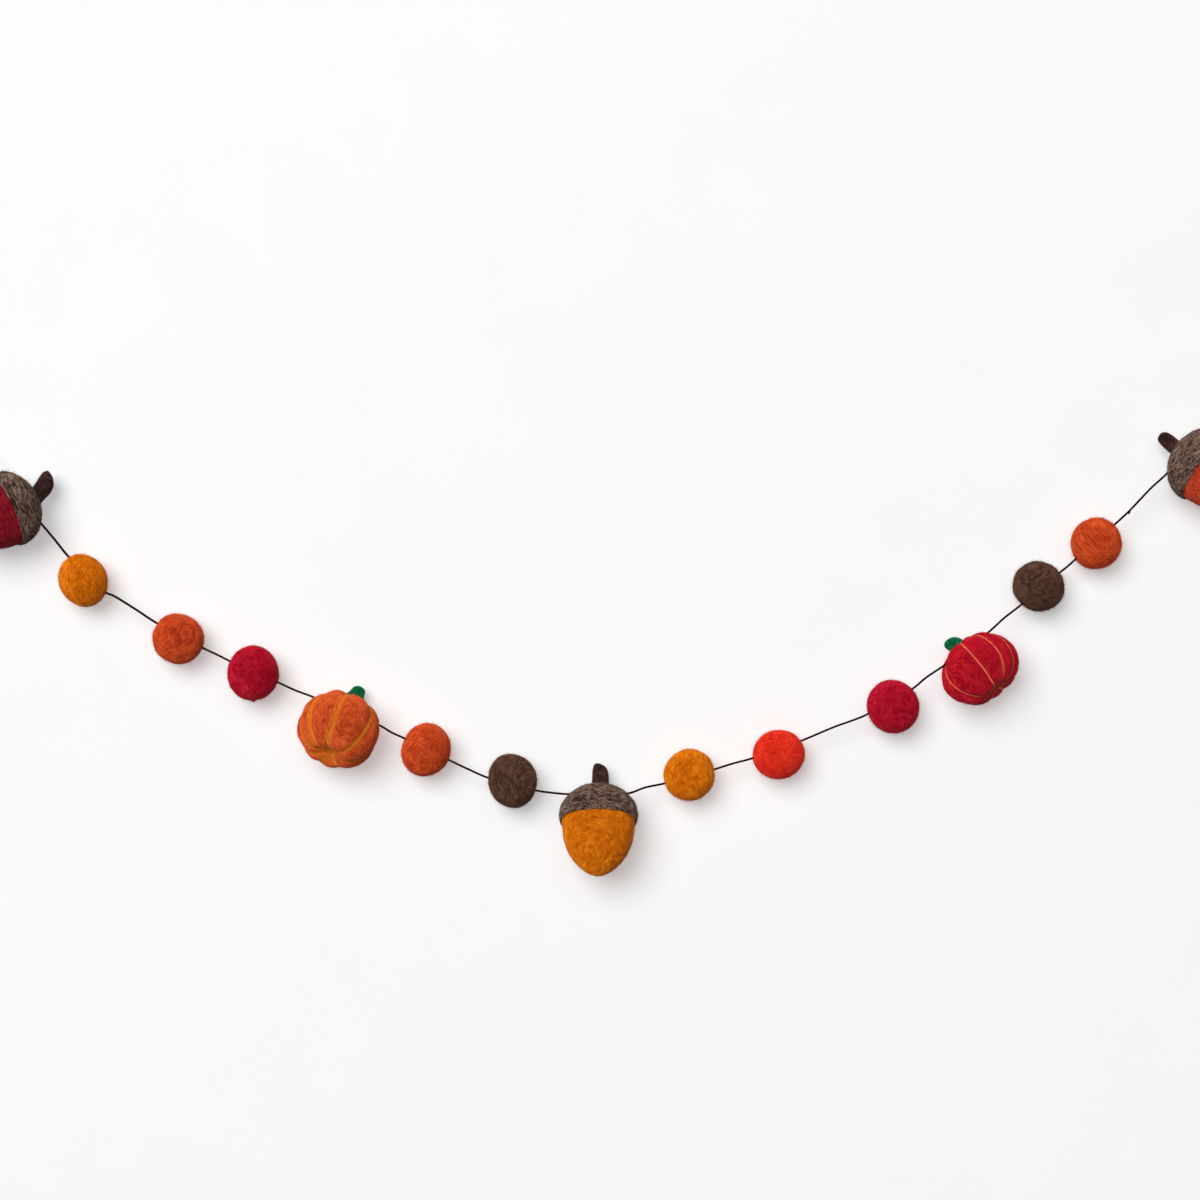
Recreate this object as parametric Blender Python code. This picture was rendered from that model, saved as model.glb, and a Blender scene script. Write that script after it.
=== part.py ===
"""Felt garland: wool balls, pumpkins and acorns strung on one thread and hung up in a swag.

The garland hangs in the XZ plane, in front of a wall. X runs along it from its left loop to its
right one, Z is up and Y points at the wall. The origin is where the left loop bears on its hook.
The tables are in millimetres, and a mesh becomes metres where it is made.
"""

import math
from dataclasses import dataclass

import bmesh
import bpy
from mathutils import Matrix, Vector, noise

MM = 0.001
ROOM = Vector((0.0, -1.0, 0.0))

# The felt lies back against the wall, whose face is this far behind the loops.
WALL_Y = 8.0

# Thread, its ways through the felt, and the space left between pieces
THREAD_RADIUS = 0.6
THREAD_STEP = 5.6
THREAD_BEVEL_RESOLUTION = 2
PIECE_GAP = 0.3
BORE_RADIUS = THREAD_RADIUS + 0.4
BORE_SIDES = 10
BORE_OVERRUN = 3.0

# Hanging loops at the two ends. Half a loop's outline is (distance from its top, half width),
# and a knot's is (radius, distance from the loop).
HOOKS = {"left": Vector((0.0, 0.0, 0.0)), "right": Vector((673.0, 0.0, 0.0))}
LOOP_HALF_OUTLINE = ((13.0, 0.8), (9.5, 1.6), (6.0, 3.0), (3.0, 3.3), (0.8, 2.1))
LOOP_STEP = 1.8
KNOT_LENGTH = 4.2
KNOT_OUTLINE = ((1.5, 0.0), (1.9, 0.8), (1.8, 1.7), (1.4, 2.1), (1.8, 2.5), (1.9, 3.3))
KNOT_NECK_RADIUS = 0.9
KNOT_SIDES = 12

# Mesh fineness
BALL_SEGMENTS = 20
BALL_RINGS = 10
PUMPKIN_SEGMENTS = 40
PUMPKIN_RINGS = 12
ACORN_SEGMENTS = 24
STEM_SEGMENTS = 12

# Felt is uneven by this share of its radius, in lumps of this fineness. Each piece reads the
# noise at a place of its own, and a turned piece reads it over this span.
LUMP_SHARE = 0.035
LUMP_FINENESS = 1.3
LUMP_SEED_STEP = Vector((7.3, 3.1, 5.7))
TURNED_LUMP_SPAN = 20.0

# Pumpkin ribs and end dimples. A groove's depth and a dimple's width are shares of the radius,
# and a groove is at its full depth where the radius is this share of the whole.
GROOVE_WIDTH = math.radians(10.5)
GROOVE_DEPTH = 0.062
GROOVE_FULL_FROM = 0.62
DIMPLE_WIDTH = 0.36
STALK_SINK = 1.5

# Acorn caps and nuts. A cap is widest a little above its rim, and its lip rolls under it.
CAP_BULGE_HEIGHT = 2.0
CAP_RIM_HEIGHT = 0.6
CAP_RIM_INSET = 0.1
CAP_LIP_DROP = 0.8
CAP_INNER_DROP = 0.3
CAP_CROWN_WALL = 3.4
CAP_RINGS = 6
NUT_RINGS = 6
NUT_FLANK_POWER = 2.4
NUT_TIP_POWER = 1.5
NUT_TIP_CROWDING = 1.6

# A stem's outline is (share of its height, share of the way from root to tip radius, narrowing).
STEM_OUTLINE = ((0.35, 0.33, 1.0), (0.72, 1.0, 1.0), (0.92, 1.0, 0.8), (1.0, 1.0, 0.42))
STEM_SINK = 1.8

SHARP_ANGLE = math.radians(50.0)


@dataclass(frozen=True)
class Finish:
    """Surface of one piece: its colour as the eye sees it (0 to 255) and its roughness."""

    red: int
    green: int
    blue: int
    roughness: float = 0.95


@dataclass(frozen=True)
class Ball:
    """A felt ball: centre, longest and shortest width, and how far the long one is turned up."""

    name: str
    finish: Finish
    x: float
    z: float
    long: float
    short: float
    turn: float


@dataclass(frozen=True)
class Stem:
    """A stalk or stem: sizes, sideways lean and slope of its top in degrees, and sideways shift."""

    root_radius: float
    tip_radius: float
    height: float
    lean: float
    slope: float = 0.0
    shift: float = 0.0


@dataclass(frozen=True)
class Pumpkin:
    """A ribbed pumpkin: centre, sizes, the way its stalk points, and its seams' longitudes."""

    name: str
    finish: Finish
    centre: tuple
    radius: float
    shoulder: float
    dimple: float
    axis: tuple
    seams: tuple
    stalk: Stem


@dataclass(frozen=True)
class Acorn:
    """An acorn: centre of its cap's rim, the way its stem points, and its sizes."""

    name: str
    finish: Finish
    x: float
    z: float
    heading: float
    tip_out: float
    cap_radius: float
    cap_height: float
    nut_radius: float
    nut_length: float
    stem: Stem


@dataclass(frozen=True)
class Passage:
    """The thread's straight way through one piece, and the points that follow outside it."""

    piece: str
    enter: tuple
    leave: tuple
    after: tuple = ()


MUSTARD = Finish(190, 99, 12)
ORANGE = Finish(175, 66, 31)
CRIMSON = Finish(156, 17, 36)
SCARLET = Finish(203, 41, 29)
BROWN = Finish(74, 49, 39)
PUMPKIN_ORANGE = Finish(188, 79, 35)
PUMPKIN_RED = Finish(157, 23, 32)
NUT_MUSTARD = Finish(198, 105, 12)
NUT_CRIMSON = Finish(135, 25, 38)
NUT_ORANGE = Finish(185, 60, 30)
CAP_MARL = Finish(92, 75, 66)
STEM_PLUM = Finish(50, 32, 36)
STALK_GREEN = Finish(10, 95, 62)
THREAD_MAROON = Finish(45, 18, 24, 0.7)

BALLS = (
    Ball("ball_mustard_left", MUSTARD, 86.4, -100.2, 27.2, 23.6, 118.0),
    Ball("ball_orange_left", ORANGE, 134.0, -129.4, 25.8, 24.8, 150.0),
    Ball("ball_crimson_left", CRIMSON, 171.5, -146.6, 27.4, 26.0, 84.0),
    Ball("ball_orange_middle", ORANGE, 257.9, -185.0, 26.8, 24.3, 72.0),
    Ball("ball_brown_left", BROWN, 301.2, -200.5, 27.4, 24.3, 103.0),
    Ball("ball_mustard_right", MUSTARD, 389.6, -197.5, 26.2, 25.2, 60.0),
    Ball("ball_scarlet", SCARLET, 434.3, -187.3, 26.0, 24.8, 5.0),
    Ball("ball_crimson_right", CRIMSON, 491.5, -163.2, 27.0, 26.2, 125.0),
    Ball("ball_brown_right", BROWN, 564.3, -103.2, 26.0, 24.8, 150.0),
    Ball("ball_orange_right", ORANGE, 593.2, -81.8, 26.0, 25.0, 72.0),
)

PUMPKINS = (
    Pumpkin("pumpkin_orange", PUMPKIN_ORANGE, (214.8, -12.2, -174.5), 20.8, 19.2, 6.0,
            (0.29, 0.57, 0.76), (44, 95, 145, 195, 240, 275, 307, 352), Stem(6.8, 4.0, 15.4, 3.5, 0.0, 0.9)),
    Pumpkin("pumpkin_red", PUMPKIN_RED, (534.2, -11.6, -144.2), 20.2, 16.9, 4.2,
            (-0.57, 0.375, 0.73), (0, 37, 68, 112, 160, 208, 254, 300), Stem(3.8, 4.2, 10.5, -20.0)),
)

ACORNS = (
    Acorn("acorn_left", NUT_CRIMSON, 49.4, -65.3, 25.4, 21.5, 19.0, 16.5, 17.7, 27.8,
          Stem(4.5, 5.2, 13.0, -28.5, 0.0, -0.6)),
    Acorn("acorn_centre", NUT_MUSTARD, 344.2, -219.6, 90.0, 24.0, 19.5, 18.3, 18.2, 29.4,
          Stem(4.3, 3.9, 12.8, 0.0, 24.0, 1.1)),
    Acorn("acorn_right", NUT_ORANGE, 647.1, -43.8, 139.6, 20.4, 19.5, 18.4, 18.2, 28.8,
          Stem(3.8, 3.5, 12.0, 0.5, 0.0, -1.5)),
)

# The thread from the left loop to the right one. These points were chosen by hand.
THREAD_START = ((11.6, -0.9, -12.7), (27.4, -5.0, -29.2))
THREAD_PASSAGES = (
    Passage("acorn_left", (44.3, -9.0, -46.9), (66.1, -9.0, -71.8), ((72.2, -6.6, -79.4),)),
    Passage("ball_mustard_left", (79.4, -5.0, -88.5), (97.4, -5.0, -106.0),
            ((101.6, -5.0, -107.8), (112.0, -4.8, -114.2))),
    Passage("ball_orange_left", (123.4, -4.8, -121.6), (146.0, -4.8, -133.8),
            ((153.6, -5.0, -137.4),)),
    Passage("ball_crimson_left", (159.8, -5.2, -140.5), (184.2, -6.4, -151.2),
            ((192.8, -8.8, -155.0),)),
    Passage("pumpkin_orange", (201.2, -11.2, -158.0), (235.0, -11.2, -172.4),
            ((241.2, -8.6, -176.2),)),
    Passage("ball_orange_middle", (247.4, -6.2, -179.2), (268.8, -5.0, -189.7),
            ((279.5, -4.8, -194.8),)),
    Passage("ball_brown_left", (289.1, -5.0, -198.9), (312.9, -5.4, -205.2),
            ((320.4, -7.2, -206.2),)),
    Passage("acorn_centre", (329.0, -9.4, -206.8), (358.4, -9.4, -206.5),
            ((367.8, -7.0, -203.6),)),
    Passage("ball_mustard_right", (377.8, -5.0, -201.6), (401.8, -5.0, -194.8),
            ((411.4, -4.8, -191.8),)),
    Passage("ball_scarlet", (421.4, -4.8, -189.1), (445.4, -4.8, -180.5), ((461.4, -4.8, -173.8),)),
    Passage("ball_crimson_right", (478.4, -5.2, -167.3), (500.6, -6.8, -154.7),
            ((507.8, -9.4, -148.6),)),
    Passage("pumpkin_red", (515.9, -12.8, -142.8), (537.8, -12.8, -126.5), ((546.6, -9.2, -119.0),)),
    Passage("ball_brown_right", (555.3, -6.4, -112.5), (574.0, -5.0, -97.0),
            ((578.6, -4.8, -93.4),)),
    Passage("ball_orange_right", (583.2, -4.8, -89.3), (601.0, -5.0, -73.5),
            ((609.6, -6.0, -65.4), (620.0, -8.2, -54.2))),
    Passage("acorn_right", (628.1, -9.4, -46.5), (646.7, -9.4, -24.3)),
)
THREAD_FINISH = ((655.2, -5.0, -15.4), (660.2, -1.5, -11.3))


def linear(level):
    """Turn one colour level, 0 to 255 as the eye sees it, into the renderer's linear light."""
    share = level / 255.0
    return share / 12.92 if share <= 0.04045 else ((share + 0.055) / 1.055) ** 2.4


def dress(piece, finish):
    """Give the piece a material of its own in this finish."""
    material = bpy.data.materials.new(f"{piece.name}_felt")
    material.use_nodes = True
    shader = material.node_tree.nodes["Principled BSDF"]
    colour = (linear(finish.red), linear(finish.green), linear(finish.blue), 1.0)
    shader.inputs["Base Color"].default_value = colour
    shader.inputs["Roughness"].default_value = finish.roughness
    shader.inputs["Metallic"].default_value = 0.0
    material.diffuse_color = colour
    piece.data.materials.append(material)


def place(name, mesh, matrix=Matrix()):
    """Make an object of the bmesh, which is in millimetres, at the matrix's place."""
    data = bpy.data.meshes.new(name)
    bmesh.ops.scale(mesh, vec=(MM, MM, MM), verts=mesh.verts)
    mesh.to_mesh(data)
    mesh.free()
    data.shade_smooth()
    data.set_sharp_from_angle(angle=SHARP_ANGLE)
    piece = bpy.data.objects.new(name, data)
    bpy.context.collection.objects.link(piece)
    turn = matrix.to_quaternion().to_matrix().to_4x4()
    piece.matrix_world = Matrix.Translation(matrix.translation * MM) @ turn
    return piece


def subtract(piece, cutter):
    """Cut the cutter's shape out of the piece."""
    cutter.hide_render = True
    cutter.display_type = "WIRE"
    modifier = piece.modifiers.new(cutter.name, "BOOLEAN")
    modifier.operation = "DIFFERENCE"
    modifier.solver = "EXACT"
    modifier.object = cutter


def turned(profile, segments):
    """Turn a profile of (radius, height) points about the Z axis into a closed bmesh."""
    mesh = bmesh.new()
    points = [mesh.verts.new((radius, 0.0, height)) for radius, height in profile]
    edges = [mesh.edges.new(pair) for pair in zip(points, points[1:])]
    bmesh.ops.spin(mesh, geom=points + edges, cent=(0, 0, 0), axis=(0, 0, 1),
                   angle=math.tau, steps=segments, use_merge=True)
    bmesh.ops.remove_doubles(mesh, verts=mesh.verts, dist=0.01)
    bmesh.ops.holes_fill(mesh, edges=mesh.edges)
    bmesh.ops.recalc_face_normals(mesh, faces=mesh.faces)
    return mesh


def lump(direction, seed):
    """Give the unevenness of hand-rolled felt in one direction, as a factor near 1."""
    return 1.0 + LUMP_SHARE * noise.noise(direction * LUMP_FINENESS + LUMP_SEED_STEP * seed)


def facing_frame(centre, axis):
    """Give the frame whose Z is the axis and whose X faces the room as nearly as it can."""
    up = Vector(axis).normalized()
    front = (ROOM - up * ROOM.dot(up)).normalized()
    frame = Matrix((front, up.cross(front), up)).transposed().to_4x4()
    frame.translation = Vector(centre)
    return frame


def make_ball(ball, seed):
    """Make one hand-rolled ball with its back against the wall."""
    mesh = bmesh.new()
    bmesh.ops.create_uvsphere(mesh, u_segments=BALL_SEGMENTS, v_segments=BALL_RINGS, radius=1.0)
    depth = (ball.long + ball.short) / 2.0
    half = Vector((ball.long, depth, ball.short)) / 2.0
    for vertex in mesh.verts:
        vertex.co = vertex.co * half * lump(vertex.co, seed)
    turn = Matrix.Rotation(-math.radians(ball.turn), 4, "Y")
    centre = Vector((ball.x, WALL_Y - half.y, ball.z))
    piece = place(ball.name, mesh, Matrix.Translation(centre) @ turn)
    dress(piece, ball.finish)


def lean_over(mesh, stem, sink):
    """Lean a turned stem sideways above its sunk root, and slope its top."""
    for vertex in mesh.verts:
        rise = max(0.0, vertex.co.z - sink)
        share = rise / (stem.height - sink)
        vertex.co.z -= math.tan(math.radians(stem.slope)) * vertex.co.y * share
        vertex.co.y += math.tan(math.radians(stem.lean)) * rise


def stem_profile(stem, swell=0.0):
    """Give a stem's outline from the middle of its root to the middle of its rounded top."""
    widening = stem.tip_radius - stem.root_radius
    sides = [
        ((stem.root_radius + widening * widened) * narrowed + swell, stem.height * risen)
        for risen, widened, narrowed in STEM_OUTLINE
    ]
    return [(0.0, -swell), (stem.root_radius + swell, -swell), *sides, (0.0, stem.height + PIECE_GAP)]


def make_stem(name, finish, stem, body, root, sink):
    """Make a stem on its body, sunk a little into a socket with the piece gap all round."""
    root = root @ Matrix.Translation((0.0, stem.shift, 0.0))
    mesh = turned(stem_profile(stem), STEM_SEGMENTS)
    lean_over(mesh, stem, sink)
    piece = place(name, mesh, root)
    dress(piece, finish)
    socket = turned(stem_profile(stem, PIECE_GAP), STEM_SEGMENTS)
    lean_over(socket, stem, sink)
    subtract(body, place(f"{name}_socket", socket, root))


def groove(longitude, seams):
    """Give how deep in a seam's groove a longitude lies, from 0 to 1."""
    turns = [(longitude - math.radians(seam) + math.pi) % math.tau - math.pi for seam in seams]
    return max(math.exp(-((turn / GROOVE_WIDTH) ** 2)) for turn in turns)


def pumpkin_point(direction, pumpkin, seed):
    """Give the point of the ribbed and dimpled pumpkin that lies in one direction."""
    side = math.hypot(direction.x, direction.y)
    drawn_in = groove(math.atan2(direction.y, direction.x), pumpkin.seams)
    drawn_in *= min(1.0, side / GROOVE_FULL_FROM)
    half = Vector((pumpkin.radius, pumpkin.radius, pumpkin.shoulder))
    point = direction * half * lump(direction, seed) * (1.0 - GROOVE_DEPTH * drawn_in)
    dimple = pumpkin.dimple * math.exp(-((side / DIMPLE_WIDTH) ** 2))
    point.z -= math.copysign(dimple, direction.z)
    return point


def make_pumpkin(pumpkin, seed):
    """Make a pumpkin's body and its stalk."""
    mesh = bmesh.new()
    bmesh.ops.create_uvsphere(mesh, u_segments=PUMPKIN_SEGMENTS, v_segments=PUMPKIN_RINGS, radius=1.0)
    for vertex in mesh.verts:
        vertex.co = pumpkin_point(vertex.co.normalized(), pumpkin, seed)
    frame = facing_frame(pumpkin.centre, pumpkin.axis)
    body = place(f"{pumpkin.name}_body", mesh, frame)
    dress(body, pumpkin.finish)
    crown = pumpkin.shoulder - pumpkin.dimple
    root = frame @ Matrix.Translation((0.0, 0.0, crown - STALK_SINK))
    make_stem(f"{pumpkin.name}_stalk", STALK_GREEN, pumpkin.stalk, body, root, STALK_SINK)


def quarter(radius, height, base, count):
    """Give points of a quarter ellipse from the axis at the top down to its full radius."""
    angles = [math.pi / 2 * step / count for step in range(count + 1)]
    return [(radius * math.sin(angle), base + height * math.cos(angle)) for angle in angles]


def cap_profile(acorn):
    """Give a cap's outline: the outside from crown to rolled lip, then the inside back up."""
    inner = acorn.nut_radius + PIECE_GAP
    dome = acorn.cap_height - CAP_BULGE_HEIGHT
    outside = quarter(acorn.cap_radius, dome, CAP_BULGE_HEIGHT, CAP_RINGS)
    hem = [
        (acorn.cap_radius - CAP_RIM_INSET, CAP_RIM_HEIGHT),
        ((acorn.cap_radius + inner) / 2.0, -CAP_LIP_DROP),
        (inner, -CAP_INNER_DROP),
    ]
    hollow = acorn.cap_height - CAP_CROWN_WALL - CAP_RIM_HEIGHT
    return outside + hem + quarter(inner, hollow, CAP_RIM_HEIGHT, CAP_RINGS)[::-1]


def nut_profile(acorn):
    """Give a nut's outline: its dome inside the cap, its flank and its blunt tip."""
    dome_height = acorn.cap_height - CAP_CROWN_WALL - CAP_RIM_HEIGHT - PIECE_GAP
    dome = quarter(acorn.nut_radius, dome_height, CAP_RIM_HEIGHT, NUT_RINGS)
    shares = [1.0 - (1.0 - step / NUT_RINGS) ** NUT_TIP_CROWDING for step in range(NUT_RINGS)]
    flank = [
        (acorn.nut_radius * (1.0 - share**NUT_FLANK_POWER) ** (1.0 / NUT_TIP_POWER),
         -acorn.nut_length * share)
        for share in shares
    ]
    return dome + flank[1:] + [(0.0, -acorn.nut_length)]


def roughen(mesh, seed):
    """Make a turned piece as uneven as hand-felted wool, and leave its height as it is."""
    for vertex in mesh.verts:
        factor = lump(vertex.co / TURNED_LUMP_SPAN, seed)
        vertex.co.x *= factor
        vertex.co.y *= factor


def make_acorn(acorn, seed):
    """Make an acorn's nut, the cap over it, and the cap's stem."""
    heading = math.radians(acorn.heading)
    tip_out = math.radians(acorn.tip_out)
    axis = Vector((math.cos(tip_out) * math.cos(heading), math.sin(tip_out),
                   math.cos(tip_out) * math.sin(heading)))
    centre = (acorn.x, WALL_Y - acorn.cap_radius, acorn.z)
    frame = facing_frame(centre, axis)
    nut_mesh = turned(nut_profile(acorn), ACORN_SEGMENTS)
    roughen(nut_mesh, seed)
    nut = place(f"{acorn.name}_nut", nut_mesh, frame)
    dress(nut, acorn.finish)
    cap_mesh = turned(cap_profile(acorn), ACORN_SEGMENTS)
    roughen(cap_mesh, seed)
    cap = place(f"{acorn.name}_cap", cap_mesh, frame)
    dress(cap, CAP_MARL)
    root = frame @ Matrix.Translation((0.0, 0.0, acorn.cap_height - STEM_SINK))
    make_stem(f"{acorn.name}_stem", STEM_PLUM, acorn.stem, cap, root, STEM_SINK)


def smooth_way(before, points, beyond, step_length):
    """Read a smooth curve through the points, a step at a time, from the first to the last."""
    ends = [before, *points, beyond]
    way = []
    for first, start, end, last in zip(ends, ends[1:], ends[2:], ends[3:]):
        span = (end - start).length
        leave = (end - first).normalized() * span
        arrive = (last - start).normalized() * span
        steps = max(1, round(span / step_length))
        for step in range(steps):
            t = step / steps
            way.append(start * (2 * t**3 - 3 * t**2 + 1) + leave * (t**3 - 2 * t**2 + t)
                       + end * (3 * t**2 - 2 * t**3) + arrive * (t**3 - t**2))
    return way + [points[-1]]


def thread_way():
    """Give the thread's points: straight inside each piece and a smooth curve outside it."""
    outside = [[Vector(point) for point in THREAD_START]]
    for passage in THREAD_PASSAGES:
        outside[-1].append(Vector(passage.enter))
        outside.append([Vector(passage.leave), *(Vector(point) for point in passage.after)])
    outside[-1].extend(Vector(point) for point in THREAD_FINISH)
    way = []
    for number, points in enumerate(outside):
        before = outside[number - 1][-1] if number else points[0] * 2 - points[1]
        after_last = number == len(outside) - 1
        beyond = points[-1] * 2 - points[-2] if after_last else outside[number + 1][0]
        way += smooth_way(before, points, beyond, THREAD_STEP)
    return way


def make_tube(name, way, radius):
    """Make a round tube with closed ends along the points, which are in millimetres."""
    curve = bpy.data.curves.new(name, "CURVE")
    curve.dimensions = "3D"
    curve.bevel_depth = radius * MM
    curve.bevel_resolution = THREAD_BEVEL_RESOLUTION
    curve.use_fill_caps = True
    spline = curve.splines.new("POLY")
    spline.points.add(len(way) - 1)
    for point, place_mm in zip(spline.points, way):
        point.co = (*(place_mm * MM), 1.0)
    tube = bpy.data.objects.new(name, curve)
    bpy.context.collection.objects.link(tube)
    dress(tube, THREAD_MAROON)


def bore(passage):
    """Cut the thread's way through each node of the piece that it passes."""
    enter = Vector(passage.enter)
    leave = Vector(passage.leave)
    way = leave - enter
    frame = way.to_track_quat("Z", "Y").to_matrix().to_4x4()
    frame.translation = (enter + leave) / 2.0
    for node in list(bpy.data.objects):
        passed = node.name == passage.piece or node.name.startswith(f"{passage.piece}_")
        if not passed or node.hide_render or node.name.endswith(("_stem", "_stalk")):
            continue
        mesh = bmesh.new()
        bmesh.ops.create_cone(mesh, cap_ends=True, segments=BORE_SIDES, radius1=BORE_RADIUS,
                              radius2=BORE_RADIUS, depth=way.length + 2.0 * BORE_OVERRUN)
        subtract(node, place(f"{node.name}_bore", mesh, frame))


def make_loop(side, thread_end):
    """Make a hanging loop about its hook and the knot that ties it, in line with the thread."""
    hook = HOOKS[side]
    out = (thread_end - hook).normalized()
    across = out.cross(ROOM)
    apex = hook - out * THREAD_RADIUS
    other_half = [(along, -aside) for along, aside in LOOP_HALF_OUTLINE[::-1]]
    outline = [*LOOP_HALF_OUTLINE, (0.0, 0.0), *other_half]
    points = [apex + out * along + across * aside for along, aside in outline]
    way = smooth_way(points[0] + out, points, points[-1] + out, LOOP_STEP)
    make_tube(f"{side}_loop", way, THREAD_RADIUS)
    knot_start = apex + out * (LOOP_HALF_OUTLINE[0][0] + PIECE_GAP)
    profile = [(0.0, 0.0), *KNOT_OUTLINE, (KNOT_NECK_RADIUS, KNOT_LENGTH), (0.0, KNOT_LENGTH)]
    knot = place(f"{side}_knot", turned(profile, KNOT_SIDES), facing_frame(knot_start, out))
    dress(knot, THREAD_MAROON)


def main():
    """Clear the scene and build the garland."""
    for old in list(bpy.data.objects):
        bpy.data.objects.remove(old, do_unlink=True)
    for seed, ball in enumerate(BALLS, start=1):
        make_ball(ball, seed)
    for seed, pumpkin in enumerate(PUMPKINS, start=21):
        make_pumpkin(pumpkin, seed)
    for seed, acorn in enumerate(ACORNS, start=31):
        make_acorn(acorn, seed)
    for passage in THREAD_PASSAGES:
        bore(passage)
    way = thread_way()
    make_tube("thread", way, THREAD_RADIUS)
    make_loop("left", way[0])
    make_loop("right", way[-1])


main()
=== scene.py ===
"""Dressed scene of a felt garland: wool balls, pumpkins and acorns on one twisted thread.

The garland hangs in the XZ plane in front of a pale wall, X along it, Z up and Y at the wall.
Its sizes are in millimetres, and every finished mesh is turned into metres at the end. The
studio's sizes are in metres.
"""

import functools
import logging
import math
import random
from dataclasses import dataclass, field
from enum import Enum
from typing import Any, Callable, Optional, Sequence, Union

import bpy
import numpy as np
from mathutils import Matrix, Vector, geometry, noise
from mathutils.bvhtree import BVHTree

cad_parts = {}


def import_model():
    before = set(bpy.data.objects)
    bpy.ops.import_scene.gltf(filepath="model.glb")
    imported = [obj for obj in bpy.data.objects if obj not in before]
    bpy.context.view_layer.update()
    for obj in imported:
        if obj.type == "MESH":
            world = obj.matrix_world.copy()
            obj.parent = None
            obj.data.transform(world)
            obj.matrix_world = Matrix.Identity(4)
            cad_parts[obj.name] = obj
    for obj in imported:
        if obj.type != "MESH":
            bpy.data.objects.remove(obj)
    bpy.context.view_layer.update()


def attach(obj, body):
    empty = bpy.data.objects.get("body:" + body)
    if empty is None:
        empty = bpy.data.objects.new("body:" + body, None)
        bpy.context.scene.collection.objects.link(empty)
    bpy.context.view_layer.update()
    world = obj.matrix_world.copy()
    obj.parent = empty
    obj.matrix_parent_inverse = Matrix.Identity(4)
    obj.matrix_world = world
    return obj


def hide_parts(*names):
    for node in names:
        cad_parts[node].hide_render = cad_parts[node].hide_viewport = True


LOG = logging.getLogger("felt_garland")

Colour = tuple[int, int, int]
Point = tuple[float, float, float]
Pair = tuple[float, float]
Profile = list[Pair]
Heading = Callable[[Vector, Vector], Vector]
Sockets = dict[Union[str, int], "Value"]
Value = Union["Wire", bpy.types.NodeSocket, float, int, Sequence[float]]

MM = 0.001
ROOM = Vector((0.0, -1.0, 0.0))
BODY = "root"
WALL_Y = 8.0

# Thread and its hanging loops
THREAD_RADIUS = 0.6
THREAD_STEP = 5.6
FINE_STEP = 0.5
TWIST_PITCH = 3.1
PLY_SIDES = 10
PIECE_GAP = 0.3
HOOKS = {"left": Vector((0.0, 0.0, 0.0)), "right": Vector((673.0, 0.0, 0.0))}
LOOP_HALF_OUTLINE = ((13.0, 0.8), (9.5, 1.6), (6.0, 3.0), (3.0, 3.3), (0.8, 2.1))
KNOT_LENGTH = 4.2
KNOT_OUTLINE = ((1.5, 0.0), (1.9, 0.8), (1.8, 1.7), (1.4, 2.1), (1.8, 2.5), (1.9, 3.3))
KNOT_NECK_RADIUS = 0.9

# Felt is uneven by this share of its radius, in lumps of this fineness. Each piece reads the
# noise at a place of its own, and a turned piece reads it over this span.
LUMP_SHARE = 0.035
LUMP_FINENESS = 1.3
LUMP_SEED_STEP = Vector((7.3, 3.1, 5.7))
NOISE_SEED = 7
TURNED_LUMP_SPAN = 20.0

# Turned pieces are merged where they close, and rounded so that each run gives the same points
TURNED_MERGE = 0.004
TURNED_DIGITS = 4
SURFACE_DIGITS = 3

# The thread draws the felt in where it goes through
PUCKER_WIDTH = 1.3
PUCKER_DEPTH = 0.8

# Pumpkin ribs and end dimples, as shares of the radius
GROOVE_WIDTH = math.radians(10.5)
GROOVE_DEPTH = 0.062
GROOVE_FULL_FROM = 0.62
DIMPLE_WIDTH = 0.36
STALK_SINK = 1.5

# Acorn caps, nuts and stems
CAP_BULGE_HEIGHT = 2.0
CAP_RIM_HEIGHT = 0.6
CAP_RIM_INSET = 0.1
CAP_LIP_DROP = 0.8
CAP_INNER_DROP = 0.3
CAP_CROWN_WALL = 3.4
NUT_FLANK_POWER = 2.4
NUT_TIP_POWER = 1.5
NUT_TIP_CROWDING = 1.6
STEM_OUTLINE = ((0.35, 0.33, 1.0), (0.72, 1.0, 1.0), (0.92, 1.0, 0.8), (1.0, 1.0, 0.42))
STEM_SINK = 1.8


def linear(colour: Colour) -> tuple[float, float, float, float]:
    """Turn a screen colour into the linear colour that a shader takes.

    Args:
        colour: red, green and blue from 0 to 255.

    Returns:
        The linear colour with full alpha.
    """
    shares = [level / 255.0 for level in colour]
    return (*(s / 12.92 if s <= 0.04045 else ((s + 0.055) / 1.055) ** 2.4 for s in shares), 1.0)


class Wire:
    """One number socket of a finish, with arithmetic that adds Math nodes."""

    def __init__(self, graph: "Graph", socket: bpy.types.NodeSocket) -> None:
        """Wrap a socket of this graph."""
        self.graph = graph
        self.socket = socket

    def __add__(self, other: Value) -> "Wire":
        """Add a value."""
        return self.graph.maths("ADD", self, other)

    def __radd__(self, other: Value) -> "Wire":
        """Add to a value."""
        return self.graph.maths("ADD", other, self)

    def __sub__(self, other: Value) -> "Wire":
        """Take a value away."""
        return self.graph.maths("SUBTRACT", self, other)

    def __rsub__(self, other: Value) -> "Wire":
        """Take from a value."""
        return self.graph.maths("SUBTRACT", other, self)

    def __mul__(self, other: Value) -> "Wire":
        """Multiply by a value."""
        return self.graph.maths("MULTIPLY", self, other)

    def __abs__(self) -> "Wire":
        """Drop the sign."""
        return self.graph.maths("ABSOLUTE", self)

    def clamped(self) -> "Wire":
        """Keep the value from 0 to 1."""
        return self.graph.maths("MAXIMUM", self.graph.maths("MINIMUM", self, 1.0), 0.0)


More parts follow.
